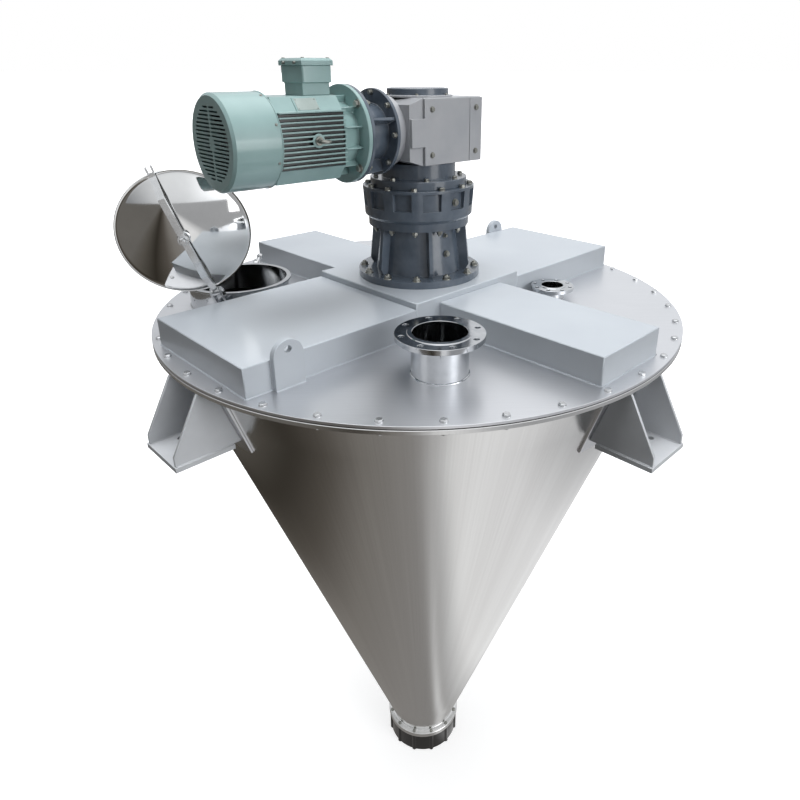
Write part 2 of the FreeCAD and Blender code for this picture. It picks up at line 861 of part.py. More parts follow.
# Right-angle gearbox. Drive pieces are built with the motor axis along +X at motor_height.
def at_drive(shape):
    return turned(shape, drive_azimuth)


def gearbox():
    """Case with a nose that drops towards the motor, two covers on each side and a round top cover."""
    nose = gearbox_front - gearbox_nose
    low = gearbox_base + gearbox_nose_drop
    high = gearbox_top - gearbox_nose_drop
    side_view = [
        (-gearbox_back, gearbox_base),
        (nose, gearbox_base),
        (gearbox_front, low),
        (gearbox_front, high),
        (nose, gearbox_top),
        (-gearbox_back, gearbox_top),
    ]
    half = gearbox_half_width
    case = slab([V(x, -half, z) for x, z in side_view], 2 * half, V(0, 1, 0))
    snout = drive_cylinder(snout_radius, gearbox_front - 1.0, snout_reach)
    save("gearbox_case", at_drive(case.fuse(snout).removeSplitter()))

    inset = side_cover_inset
    bottom = gearbox_base + inset
    top = gearbox_top - inset
    notched = [
        (-side_cover_back, bottom),
        (nose, bottom),
        (nose, gearbox_base + side_cover_notch),
        (gearbox_front - inset, gearbox_base + side_cover_notch),
        (gearbox_front - inset, gearbox_top - side_cover_notch),
        (nose, gearbox_top - side_cover_notch),
        (nose, top),
        (-side_cover_back, top),
    ]
    covers = []
    for y0 in (half, -half - side_cover_thickness):
        covers.append(slab([V(x, y0, z) for x, z in notched], side_cover_thickness, V(0, 1, 0)))
        y1 = y0 + side_cover_thickness
        covers.append(block(-gearbox_back + inset, -side_cover_back - inset, y0, y1, bottom, top))
    save("gearbox_side_covers", [at_drive(one) for one in covers])
    flange_top_height = gearbox_top + cap_flange_height
    outline = [
        (0, gearbox_top),
        (cap_flange_radius, gearbox_top),
        (cap_flange_radius, flange_top_height),
        (cap_radius, flange_top_height),
        (cap_radius, flange_top_height + cap_height),
        (0, flange_top_height + cap_height),
    ]
    save("gearbox_top_cap", revolved(outline))


def drive_cylinder(radius, x0, x1):
    return cylinder(radius, x1 - x0, V(x0, 0, motor_height), V(1, 0, 0))


def drive_pattern(shape, count, first=0.0):
    """Copies about the motor axis."""
    copies = []
    for k in range(count):
        copies.append(turned(shape, first + 360.0 * k / count, V(0, 0, motor_height), V(1, 0, 0)))
    return copies


def adaptor():
    start = adaptor_start
    end = start + adaptor_length
    body = drive_cylinder(adaptor_small_radius, start, start + adaptor_small_thickness)
    body = body.fuse(drive_cylinder(adaptor_core_radius, start, end))
    body = body.fuse(drive_cylinder(motor_flange_radius, end - adaptor_small_thickness, end))
    web = [
        V(start, -adaptor_web_thickness / 2, motor_height),
        V(start, -adaptor_web_thickness / 2, motor_height + adaptor_small_radius - 12.0),
        V(end, -adaptor_web_thickness / 2, motor_height + motor_flange_radius - 14.0),
        V(end, -adaptor_web_thickness / 2, motor_height),
    ]
    plate = slab(web, adaptor_web_thickness, V(0, 1, 0))
    body = body.fuse(drive_pattern(plate, adaptor_web_count, adaptor_web_angle)).removeSplitter()
    bore = drive_cylinder(motor_shaft_radius + running_gap, end - shaft_socket, end + 5.0)
    save("motor_adaptor", at_drive(body.cut(bore)))


# Motor: flanged bell, finned frame, cowl with a slotted end, fan, rotor and terminal box.
def motor_housing():
    bell = drive_cylinder(motor_flange_radius, motor_start, bell_start)
    bell_foot = V(bell_start, 0, motor_height)
    cone = Part.makeCone(bell_radius * 0.86, bell_radius, bell_length, bell_foot, V(1, 0, 0))
    bell = bell.fuse(cone).removeSplitter()
    bell = bell.cut(drive_cylinder(motor_shaft_radius + running_gap, motor_start - 5.0, frame_start + 5.0))
    save("motor_drive_shield", at_drive(bell))

    corners = []
    for y, z in ((pad_half, motor_pad_reach), (frame_half_width, frame_shoulder)):
        corners += [(y, z), (y, -z), (-y, -z), (-y, z)]
    corners.sort(key=lambda yz: math.atan2(yz[1], yz[0]))
    section = [V(frame_start, y, motor_height + z) for y, z in corners]
    frame = slab(section, frame_length, V(1, 0, 0))
    fins = []
    for k in range(fin_count):
        z = motor_height + fin_offset + (k - (fin_count - 1) / 2) * fin_pitch - fin_thickness / 2
        fins.append(block(frame_start, frame_end, -fin_reach, fin_reach, z, z + fin_thickness))
    boss_at = V(frame_start + eye_place, 0, motor_height)
    boss = cylinder(eye_boss_radius, fin_reach, boss_at, V(0, 1, 0))
    frame = frame.fuse(fins + [boss]).removeSplitter()
    frame = frame.cut(drive_cylinder(stator_bore, frame_start, frame_end))
    save("motor_frame", at_drive(frame))

    shield_end = frame_end + rear_shield_length
    shield = drive_cylinder(rear_shield_radius, frame_end, shield_end)
    shield = shield.cut(drive_cylinder(motor_shaft_radius + running_gap, frame_end - 5.0, shield_end + 5.0))
    save("motor_rear_shield", at_drive(shield))

    # the lifting eye screws into the boss on the side of the frame, its ring lies level
    centre = V(boss_at.x, fin_reach + eye_stem_length + eye_outer, motor_height - eye_thickness / 2)
    ring = tube(eye_outer, eye_inner, eye_thickness, centre)
    stem_length = eye_stem_length + (eye_outer - eye_inner) / 2
    stem = cylinder(eye_stem_radius, stem_length, V(boss_at.x, fin_reach, motor_height), V(0, 1, 0))
    save("motor_eye_bolt", at_drive(ring.fuse(stem).removeSplitter()))


def fan_cowl():
    bevel = V(cowl_end - cowl_bevel, 0, motor_height)
    outer = drive_cylinder(cowl_radius, cowl_start, bevel.x)
    outer = outer.fuse(Part.makeCone(cowl_radius, cowl_radius - cowl_bevel, cowl_bevel, bevel, V(1, 0, 0)))
    inner = drive_cylinder(cowl_radius - cowl_wall, cowl_start, bevel.x)
    lip = cowl_radius - cowl_wall
    hollow = Part.makeCone(lip, lip - cowl_bevel + cowl_wall, cowl_bevel - cowl_wall, bevel, V(1, 0, 0))
    cowl = outer.cut(inner.fuse(hollow))
    slots = []
    for k in range(grille_rows):
        z = (k - (grille_rows - 1) / 2) * grille_pitch
        reach = math.sqrt(max(grille_radius ** 2 - z ** 2, 0.0))
        if reach < 30.0:
            continue
        spine = grille_spine / 2 if abs(z) > 24.0 else grille_spine * 1.6
        for y0, y1 in ((-reach, -spine), (spine, reach)):
            slots.append(block(cowl_end - 20.0, cowl_end + 5.0, y0, y1,
                               motor_height + z - grille_slot / 2, motor_height + z + grille_slot / 2))
    save("fan_cowl", at_drive(cut_all(cowl, slots)))


def rotor():
    shaft_end = cowl_end - shaft_end_gap
    shaft_start = motor_start - shaft_socket + 6.0
    save("motor_shaft", at_drive(drive_cylinder(motor_shaft_radius, shaft_start, shaft_end)))
    core_start = frame_start + core_inset
    core_end = frame_end - core_inset
    core = drive_cylinder(rotor_radius, core_start, core_end)
    save("motor_rotor", at_drive(core.cut(drive_cylinder(motor_shaft_radius, core_start, core_end))))
    stator = drive_cylinder(stator_bore, core_start, core_end)
    save("stator_core", at_drive(stator.cut(drive_cylinder(rotor_radius + rotor_gap, core_start, core_end))))
    rings = []
    for x0 in (frame_start, frame_end - motor_bearing_width):
        x1 = x0 + motor_bearing_width
        ring = drive_cylinder(stator_bore, x0, x1)
        rings.append(ring.cut(drive_cylinder(motor_shaft_radius + running_gap, x0, x1)))
    save("motor_bearings", [at_drive(one) for one in rings])
    fan_start = shaft_end - fan_width
    hub = drive_cylinder(fan_hub_radius, fan_start, shaft_end)
    half = fan_blade_thickness / 2
    blade = block(fan_start, shaft_end, -half, half, motor_height, motor_height + fan_radius)
    fan = hub.fuse(drive_pattern(blade, fan_blades)).removeSplitter()
    save("cooling_fan", at_drive(fan.cut(drive_cylinder(motor_shaft_radius, fan_start, shaft_end))))


def terminal_box():
    x0 = frame_start + terminal_start
    x1 = x0 + terminal_length
    half = terminal_width / 2
    base = motor_height + motor_pad_reach
    shoulder = base + terminal_neck_height
    top = shoulder + terminal_body_height
    neck = block(x0 + 4.0, x1 - 4.0, -half + 14.0, half - 14.0, base, shoulder)
    body = block(x0, x1, -half, half, shoulder, top)
    corners = [e for e in body.Edges if abs(e.tangentAt(e.FirstParameter).z) > 0.99]
    body = body.makeFillet(terminal_corner, corners)
    save("terminal_box", at_drive(neck.fuse(body).removeSplitter()))
    lip = terminal_lid_lip
    lid = block(x0 - lip, x1 + lip, -half - lip, half + lip, top, top + terminal_lid_height)
    ridge = [e for e in lid.Edges if e.CenterOfMass.z > top + terminal_lid_height - 0.1]
    lid = lid.makeChamfer(terminal_lid_chamfer, ridge)
    save("terminal_box_lid", at_drive(lid))


def drive_bolts():
    """Heads of the bolts through the motor's flange and of those that hold the gearbox's side covers."""
    head = hexagon(motor_bolt_flats, motor_bolt_head, V(0, 0, 0), 30)
    head = turned(head, 90, V(0, 0, 0), V(0, 1, 0))
    head = moved(head, bell_start, 0, motor_height + motor_bolt_circle)
    bolts = drive_pattern(head, 4, motor_bolt_angle)
    face = gearbox_half_width + side_cover_thickness
    for side in (-1, 1):
        head = turned(hexagon(cover_bolt_flats, cover_bolt_head), -90 * side, V(0, 0, 0), V(1, 0, 0))
        for x in (cover_bolt_front, -cover_bolt_back):
            for rise in (-cover_bolt_rise, cover_bolt_rise):
                bolts.append(moved(head, x, side * face, motor_height + rise))
    save("drive_bolts", [at_drive(one) for one in bolts])


# Swing head under the cover: fixed spindle housing with a bearing at each end, turning spindle and
# hub, two arms with a bearing sleeve each.
def spindle_housing():
    bore = output_shaft_radius + running_gap
    seat = spindle_bearing_radius
    low = -spindle_housing_drop
    high = deck + spindle_flange_thickness
    width = spindle_bearing_width
    outline = [
        (seat, low),
        (spindle_housing_radius, low),
        (spindle_housing_radius, deck),
        (spindle_flange_radius, deck),
        (spindle_flange_radius, high),
        (seat, high),
        (seat, high - width),
        (bore + spindle_relief, high - width),
        (bore + spindle_relief, low + width),
        (seat, low + width),
    ]
    save("spindle_housing", revolved(outline))
    bearings = [tube(seat, bore, width, V(0, 0, z)) for z in (low, high - width)]
    save("spindle_bearings", bearings)


def swing_head():
    top = reducer_base + (trunk_height - collar_height) * 0.6 - 4.0
    spindle = cylinder(output_shaft_radius, top + hub_top, V(0, 0, -hub_top))
    save("swing_spindle", spindle)
    low = -hub_top - hub_height
    outline = [
        (0, low),
        (hub_radius * 0.62, low),
        (hub_radius, low + 46.0),
        (hub_radius, -hub_top),
        (0, -hub_top),
    ]
    hub = turned(revolved(outline), arm_azimuth)
    flats = []
    for side in (-1, 1):
        start = hub_flat
        box = block(start, hub_radius + 40.0, -hub_radius, hub_radius, low - 5.0, 0)
        flats.append(turned(box if side > 0 else box.mirror(V(0, 0, 0), V(1, 0, 0)), arm_azimuth))
    save("swing_hub", cut_all(hub, flats))


# The screws' own frame: origin where the screw axis meets the arm, -Z down the screw.
def at_screw(shape, side):
    tilted = turned(shape, cone_half_angle, V(0, 0, 0), V(0, 1, 0))
    placed = moved(tilted, arm_reach, 0, -arm_axis_drop)
    return turned(placed, arm_azimuth + (0 if side > 0 else 180))


def swing_arm(side, name):
    """Arm tube from the hub with a foot flange, and the inclined sleeve that holds the screw's bearings."""
    start = hub_flat
    arm = cylinder(arm_tube_radius, arm_reach - start, V(start, 0, -arm_axis_drop), V(1, 0, 0))
    foot = cylinder(arm_tube_radius + 22.0, 22.0, V(start, 0, -arm_axis_drop), V(1, 0, 0))
    arm = turned(arm.fuse(foot), arm_azimuth + (0 if side > 0 else 180))
    sleeve = cylinder(sleeve_radius, sleeve_above + sleeve_below, V(0, 0, -sleeve_below))
    arm = arm.fuse(at_screw(sleeve, side)).removeSplitter()
    chamber = cylinder(sleeve_bore, sleeve_above + sleeve_below, V(0, 0, -sleeve_below))
    save(name, arm.cut(at_screw(chamber, side)))


def sleeve_fittings():
    """Two bearings in each sleeve, a blind cap on top and a seal plate round the shaft below."""
    bore = screw_shaft_radius + running_gap
    plate = cap_plate_thickness
    bearings, caps = [], []
    for side in (1, -1):
        for z in (sleeve_above - plate - sleeve_bearing_width, -sleeve_below):
            ring = tube(sleeve_bore, bore, sleeve_bearing_width, V(0, 0, z))
            bearings.append(at_screw(ring, side))
        spigot = cylinder(sleeve_bore, plate, V(0, 0, sleeve_above - plate))
        lid = cylinder(sleeve_radius, plate, V(0, 0, sleeve_above))
        caps.append(at_screw(lid.fuse(spigot).removeSplitter(), side))
        low_plate = tube(sleeve_radius, bore, plate, V(0, 0, -sleeve_below - plate))
        caps.append(at_screw(low_plate, side))
    save("screw_bearings", bearings)
    save("sleeve_caps", caps)


def flight(turns):
    """One-turn sections of a helical flight, butted end to end, each made of flat facets."""
    inner = (screw_shaft_radius + running_gap) / math.cos(math.pi / flight_facets)
    corners = []
    for k in range(flight_facets + 1):
        a = 2 * math.pi * k / flight_facets
        z = -flight_start - flight_pitch * k / flight_facets
        ring = []
        low = -flight_thickness
        for r, dz in ((inner, 0), (flight_radius, 0), (flight_radius, low), (inner, low)):
            ring.append(V(r * math.cos(a), r * math.sin(a), z + dz))
        corners.append(ring)
    faces = [Part.Face(Part.makePolygon(corners[0] + corners[0][:1]))]
    for first, second in zip(corners[:-1], corners[1:]):
        for m in range(4):
            n = (m + 1) % 4
            faces.append(Part.Face(Part.makePolygon([first[m], first[n], second[n], first[m]])))
            faces.append(Part.Face(Part.makePolygon([first[m], second[n], second[m], first[m]])))
    faces.append(Part.Face(Part.makePolygon(corners[-1] + corners[-1][:1])))
    section = Part.Solid(Part.Shell(faces))
    if section.Volume < 0:
        section.reverse()
    return [moved(section, 0, 0, -flight_pitch * k) for k in range(turns)]


def screw(side, turns, name):
    bottom = flight_start + turns * flight_pitch + shaft_tip
    top = sleeve_above - cap_plate_thickness - 4.0
    shaft = cylinder(screw_shaft_radius, bottom + top, V(0, 0, -bottom))
    save(name + "_shaft", at_screw(shaft, side))
    save(name + "_flights", [at_screw(one, side) for one in flight(turns)])


def all_pieces():
    vessel()
    cover_gasket()
    cover()
    rim_fasteners()
    support_brackets()
    pedestal()
    cross_beams()
    lifting_lugs()
    nozzles()
    manhole_neck()
    manhole_pivots()
    manhole_lid()
    clamp_bar()
    catch()
    outlet_valve()
    reducer()
    gearbox()
    adaptor()
    motor_housing()
    fan_cowl()
    rotor()
    terminal_box()
    drive_bolts()
    spindle_housing()
    swing_head()
    swing_arm(1, "long_screw_arm")
    swing_arm(-1, "short_screw_arm")
    sleeve_fittings()
    screw(1, long_screw_turns, "long_screw")
    screw(-1, short_screw_turns, "short_screw")


all_pieces()
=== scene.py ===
import json
import math

import bmesh
import bpy
from mathutils import Matrix, Vector


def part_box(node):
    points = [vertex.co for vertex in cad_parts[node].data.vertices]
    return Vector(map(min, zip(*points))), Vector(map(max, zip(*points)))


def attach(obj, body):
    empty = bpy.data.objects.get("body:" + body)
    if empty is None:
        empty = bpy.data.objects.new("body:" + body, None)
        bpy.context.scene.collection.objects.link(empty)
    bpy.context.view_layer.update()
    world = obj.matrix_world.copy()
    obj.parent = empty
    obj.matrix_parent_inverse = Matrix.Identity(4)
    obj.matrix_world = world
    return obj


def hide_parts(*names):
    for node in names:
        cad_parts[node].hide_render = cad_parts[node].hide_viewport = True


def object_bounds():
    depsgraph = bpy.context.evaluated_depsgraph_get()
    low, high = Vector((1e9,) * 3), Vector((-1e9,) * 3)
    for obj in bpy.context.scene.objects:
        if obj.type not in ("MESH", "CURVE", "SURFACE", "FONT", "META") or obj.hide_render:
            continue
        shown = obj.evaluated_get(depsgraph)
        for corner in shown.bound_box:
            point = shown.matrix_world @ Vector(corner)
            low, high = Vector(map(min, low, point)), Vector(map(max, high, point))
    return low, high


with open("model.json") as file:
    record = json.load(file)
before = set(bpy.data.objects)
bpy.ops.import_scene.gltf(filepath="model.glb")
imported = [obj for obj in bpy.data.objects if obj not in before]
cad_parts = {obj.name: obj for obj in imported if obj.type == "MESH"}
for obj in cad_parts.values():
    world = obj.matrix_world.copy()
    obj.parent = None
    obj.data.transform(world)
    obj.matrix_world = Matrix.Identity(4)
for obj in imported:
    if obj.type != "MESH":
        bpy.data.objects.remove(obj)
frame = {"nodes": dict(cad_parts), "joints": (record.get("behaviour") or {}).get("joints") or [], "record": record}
cad_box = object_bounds()
mm = 0.001

# Camera, floor and studio
# The photograph looks down 22 degrees from a little right of the vessel's axis, level with the motor.
# The floor is plain and pale to the camera and a darker grey to bounced light. The studio glows softly from
# overhead and from the right, helped by three weak lamps, and polished steel mirrors its darker walls on the left.
# To rays that met only mirrors the floor glows with a painted reflection.
photo_width = 800
focal_pixels = 643.6
optical_centre = (434.4, 329.0)
camera_tilt = 22.014
camera_data = bpy.data.cameras.new("photo_camera")
camera_data.sensor_width = 36.0
camera_data.lens = focal_pixels * camera_data.sensor_width / photo_width
camera_data.shift_x = 0.5 - optical_centre[0] / photo_width
camera_data.shift_y = optical_centre[1] / photo_width - 0.5
camera_data.clip_end = 900.0
camera = bpy.data.objects.new("photo_camera", camera_data)
camera.location = (0.0743, -3.0243, 1.3707)
camera.rotation_euler = (math.radians(90.0 - camera_tilt), 0.0, 0.0)
bpy.context.scene.collection.objects.link(camera)
bpy.context.scene.camera = camera
bpy.context.scene.view_settings.view_transform = "Standard"


def linear(hex_colour):
    """sRGB hex to the linear colour that shaders take."""
    channels = [int(hex_colour[i:i + 2], 16) / 255.0 for i in (1, 3, 5)]
    return tuple(c / 12.92 if c <= 0.04045 else ((c + 0.055) / 1.055) ** 2.4 for c in channels) + (1.0,)


def add_node(tree, kind, settings=None, links=None):
    """Adds a shader node, sets its properties or sockets, and links other sockets into it."""
    node = tree.nodes.new(kind)
    for key, value in (settings or {}).items():
        if isinstance(key, str) and hasattr(node, key):
            setattr(node, key, value)
        elif key == "stops":
            ramp = node.color_ramp
            while len(ramp.elements) < len(value):
                ramp.elements.new(0.5)
            for element, (position, colour) in zip(ramp.elements, value):
                element.position = position
                element.color = linear(colour)
        else:
            node.inputs[key].default_value = value
    for key, source in (links or {}).items():
        tree.links.new(source, node.inputs[key])
    return node


def seen_mirror(tree, rays):
    """One for a ray that met only mirrors on its way, so that what steel mirrors lights nothing else."""
    direct = add_node(tree, "ShaderNodeMath", {"operation": "LESS_THAN", 1: 0.5},
                      {0: rays.outputs["Diffuse Depth"]})
    both = add_node(tree, "ShaderNodeMath", {"operation": "MULTIPLY"},
                    {0: direct.outputs[0], 1: rays.outputs["Is Glossy Ray"]})
    return both.outputs[0]


world = bpy.data.worlds.new("studio")
bpy.context.scene.world = world
world.use_nodes = True
world_tree = world.node_tree
world_tree.nodes.clear()
sky_rays = add_node(world_tree, "ShaderNodeLightPath")
sky_place = add_node(world_tree, "ShaderNodeTexCoord")
sky_axes = add_node(world_tree, "ShaderNodeSeparateXYZ", None, {0: sky_place.outputs["Generated"]})
across = add_node(world_tree, "ShaderNodeMapRange", {"From Min": -1.0, "From Max": 1.0},
                  {"Value": sky_axes.outputs["X"]})
side_walls = add_node(world_tree, "ShaderNodeValToRGB", {"stops": [
    (0.0, "#6E6F71"), (0.3, "#919396"), (0.5, "#E4E6E9"), (1.0, "#D2D5D8")]}, {0: across.outputs[0]})
ceiling_from, ceiling_share = 0.6, 0.7
rising = add_node(world_tree, "ShaderNodeMapRange",
                  {"From Min": 0.0, "From Max": ceiling_from, "To Min": 0.0, "To Max": ceiling_share},
                  {"Value": sky_axes.outputs["Z"]})
ceiling = add_node(world_tree, "ShaderNodeMix", {"data_type": "RGBA", 7: linear("#F4F6F8")},
                   {0: rising.outputs[0], 6: side_walls.outputs[0]})
plain = add_node(world_tree, "ShaderNodeMath", {"operation": "MAXIMUM"},
                 {0: sky_rays.outputs["Is Camera Ray"], 1: sky_rays.outputs["Is Transmission Ray"]})
seen_sky = add_node(world_tree, "ShaderNodeBackground", {"Color": linear("#FFFFFF"), "Strength": 1.0})
mirror_sky = add_node(world_tree, "ShaderNodeBackground", None, {"Color": ceiling.outputs[2]})


def soft_source(towards, strength, focus=14.0):
    """Brightness of the studio round one direction; a higher focus makes the glow narrower."""
    facing = add_node(world_tree, "ShaderNodeVectorMath",
                      {"operation": "DOT_PRODUCT", 1: Vector(towards).normalized()},
                      {0: sky_place.outputs["Generated"]})
    ahead = add_node(world_tree, "ShaderNodeMath", {"operation": "MAXIMUM", 1: 0.0},
                     {0: facing.outputs["Value"]})
    narrowed = add_node(world_tree, "ShaderNodeMath", {"operation": "POWER", 1: focus}, {0: ahead.outputs[0]})
    return add_node(world_tree, "ShaderNodeMath", {"operation": "MULTIPLY", 1: strength},
                    {0: narrowed.outputs[0]})


dimmest_fill = 0.05
mirrored_glow, mirrored_walls = 0.3, 1.05
overhead = soft_source((-0.05, 0.05, 1.0), 8.6)
from_right = soft_source((0.75, -0.62, 0.2), 5.0)
both_sources = add_node(world_tree, "ShaderNodeMath", {"operation": "ADD"},
                        {0: overhead.outputs[0], 1: from_right.outputs[0]})
fill_level = add_node(world_tree, "ShaderNodeMath", {"operation": "ADD", 1: dimmest_fill},
                      {0: both_sources.outputs[0]})
not_mirrored = add_node(world_tree, "ShaderNodeMath", {"operation": "SUBTRACT", 0: 1.0},
                        {1: sky_rays.outputs["Is Glossy Ray"]})
lit_level = add_node(world_tree, "ShaderNodeMath", {"operation": "MULTIPLY"},
                     {0: fill_level.outputs[0], 1: not_mirrored.outputs[0]})
fill_sky = add_node(world_tree, "ShaderNodeBackground", {"Color": linear("#F2F4F6")},
                    {"Strength": lit_level.outputs[0]})
mirror_level = add_node(world_tree, "ShaderNodeMath",
                        {"operation": "MULTIPLY_ADD", 1: mirrored_glow, 2: mirrored_walls},
                        {0: both_sources.outputs[0]})
world_tree.links.new(mirror_level.outputs[0], mirror_sky.inputs["Strength"])
mirrored = add_node(world_tree, "ShaderNodeMixShader", None,
                    {0: seen_mirror(world_tree, sky_rays), 1: fill_sky.outputs[0], 2: mirror_sky.outputs[0]})
sky = add_node(world_tree, "ShaderNodeMixShader", None,
               {0: plain.outputs[0], 1: mirrored.outputs[0], 2: seen_sky.outputs[0]})
add_node(world_tree, "ShaderNodeOutputWorld", None, {"Surface": sky.outputs[0]})


def add_area(name, place, aim, size, power):
    light = bpy.data.lights.new(name, "AREA")
    light.shape = "RECTANGLE"
    light.size, light.size_y = size
    light.energy = power
    lamp = bpy.data.objects.new(name, light)
    lamp.location = place
    lamp.rotation_euler = (Vector(aim) - Vector(place)).to_track_quat("-Z", "Y").to_euler()
    bpy.context.scene.collection.objects.link(lamp)


add_area("key_right", place=(4.6, -3.6, 0.9), aim=(0.1, 0.0, 0.0), size=(2.6, 2.4), power=45)
add_area("fill_left", place=(-4.8, -3.2, 2.2), aim=(0.0, 0.0, 0.2), size=(2.4, 3.0), power=8)
add_area("top_soft", place=(0.0, 0.5, 5.2), aim=(0.0, 0.0, 0.0), size=(4.6, 4.6), power=30)

floor_height = cad_box[0][2]
floor_bm = bmesh.new()
bmesh.ops.create_grid(floor_bm, x_segments=1, y_segments=1, size=800.0)
floor_bm.transform(Matrix.Translation((0, 0, floor_height)))
floor_mesh = bpy.data.meshes.new("floor")
floor_bm.to_mesh(floor_mesh)
floor_bm.free()
floor = bpy.data.objects.new("floor", floor_mesh)
bpy.context.scene.collection.objects.link(floor)
floor_paint = bpy.data.materials.new("pale_floor")
floor_paint.use_nodes = True
floor_tree = floor_paint.node_tree
floor_tree.nodes.clear()
floor_rays = add_node(floor_tree, "ShaderNodeLightPath")
floor_place = add_node(floor_tree, "ShaderNodeTexCoord")
floor_axes = add_node(floor_tree, "ShaderNodeSeparateXYZ", None, {0: floor_place.outputs["Object"]})
floor_reach = add_node(floor_tree, "ShaderNodeVectorMath", {"operation": "LENGTH"},
                       {0: floor_place.outputs["Object"]})
shadow_from, white_from, shadow_glow = 3.0, 7.0, 0.72
floor_far = add_node(floor_tree, "ShaderNodeMapRange",
                     {"From Min": shadow_from, "From Max": white_from, "To Min": shadow_glow, "To Max": 1.0},
                     {"Value": floor_reach.outputs["Value"]})
floor_diffuse = add_node(floor_tree, "ShaderNodeBsdfDiffuse", {"Color": linear("#C8C8C8")})
floor_glow = add_node(floor_tree, "ShaderNodeEmission", {"Color": linear("#FFFFFF")},
                      {"Strength": floor_far.outputs[0]})
floor_seen = add_node(floor_tree, "ShaderNodeAddShader", None,
                      {0: floor_diffuse.outputs[0], 1: floor_glow.outputs[0]})
# Painted reflection: to rays that met only mirrors the floor glows with a ramp across x. The ramp is dark on the
# left with a darkest band, mid grey towards the middle, has a bright strip just right of the middle and is near
# white on the right. Polished steel shows this ramp as its shading.
painted_reflection_reach = 4.0
floor_span = add_node(floor_tree, "ShaderNodeMapRange", {"From Min": -painted_reflection_reach, "From Max": painted_reflection_reach},
                      {"Value": floor_axes.outputs["X"]})
floor_painted_reflection = add_node(floor_tree, "ShaderNodeValToRGB", {"stops": [
    (0.0, "#6B6864"), (0.10, "#5A5650"), (0.21, "#332F29"), (0.30, "#57524C"), (0.38, "#7E7A75"),
    (0.47, "#8B8885"), (0.515, "#8E8C8A"), (0.524, "#E0E0E0"), (0.532, "#A9A8A7"), (0.545, "#BEBEBE"),
    (0.58, "#F2F2F2"), (0.72, "#EDEDEE"), (0.90, "#A9AAAC")]}, {0: floor_span.outputs[0]})
floor_painted_reflection_glow = add_node(floor_tree, "ShaderNodeEmission", {"Strength": mirrored_walls},
                          {"Color": floor_painted_reflection.outputs[0]})
floor_bounce = add_node(floor_tree, "ShaderNodeBsdfDiffuse", {"Color": linear("#585858")})
floor_hidden = add_node(floor_tree, "ShaderNodeMixShader", None,
                        {0: seen_mirror(floor_tree, floor_rays), 1: floor_bounce.outputs[0],
                         2: floor_painted_reflection_glow.outputs[0]})
floor_mix = add_node(floor_tree, "ShaderNodeMixShader", None,
                     {0: floor_rays.outputs["Is Camera Ray"], 1: floor_hidden.outputs[0],
                      2: floor_seen.outputs[0]})
add_node(floor_tree, "ShaderNodeOutputMaterial", None, {"Surface": floor_mix.outputs[0]})
floor_mesh.materials.append(floor_paint)


# Vessel
# A cone rolled from 8 mm stainless plate and welded, with a turned bolting flange round the top and
# the outlet flange at the tip. The outside is ground along the cone and left with a silky shine.
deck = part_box("cover_plate")[1].z
cover_thickness = 12 * mm
datum = deck - cover_thickness
rim_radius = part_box("cover_plate")[1].x
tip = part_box("vessel_shell")[0].z
half_angle = 19.3
cone_slope = math.tan(math.radians(half_angle))
cone_top_radius = 1175 * mm
shell_wall = 8.5 * mm
outlet_bore = 155 * mm
outlet_flange_radius = 222 * mm
body_of = {node: body for body, nodes in frame["record"]["behaviour"]["bodies"].items() for node in nodes}


def material(name, colour, metallic, roughness):
    """Principled material with object coordinates ready for its patterns."""
    paint = bpy.data.materials.new(name)
    paint.use_nodes = True
    tree = paint.node_tree
    shader = tree.nodes["Principled BSDF"]
    shader.inputs["Base Color"].default_value = linear(colour)
    shader.inputs["Metallic"].default_value = metallic
    shader.inputs["Roughness"].default_value = roughness
    place = add_node(tree, "ShaderNodeTexCoord")
    return paint, tree, shader, place.outputs["Object"]


def ground_finish(tree, shader, lines, clouds, colour, dark, roughness, depth):
    """Mixes two tones and two roughnesses by the grinding lines and by slow clouds of sheen."""
    noise_range = {"From Min": 0.6, "From Max": 1.4}
    duller, shinier = 0.03, 0.02
    both = add_node(tree, "ShaderNodeMath", {"operation": "ADD"}, {0: lines, 1: clouds})
    shade = add_node(tree, "ShaderNodeMapRange", noise_range, {"Value": both.outputs[0]})
    tone = add_node(tree, "ShaderNodeMix", {"data_type": "RGBA", 6: linear(dark), 7: linear(colour)},
                    {0: shade.outputs[0]})
    sheen = add_node(tree, "ShaderNodeMapRange",
                     {**noise_range, "To Min": roughness + duller, "To Max": roughness - shinier},
                     {"Value": both.outputs[0]})
    bump = add_node(tree, "ShaderNodeBump", {"Strength": depth, "Distance": 0.4 * mm}, {"Height": lines})
    tree.links.new(tone.outputs[2], shader.inputs["Base Color"])
    tree.links.new(sheen.outputs[0], shader.inputs["Roughness"])
    tree.links.new(bump.outputs[0], shader.inputs["Normal"])


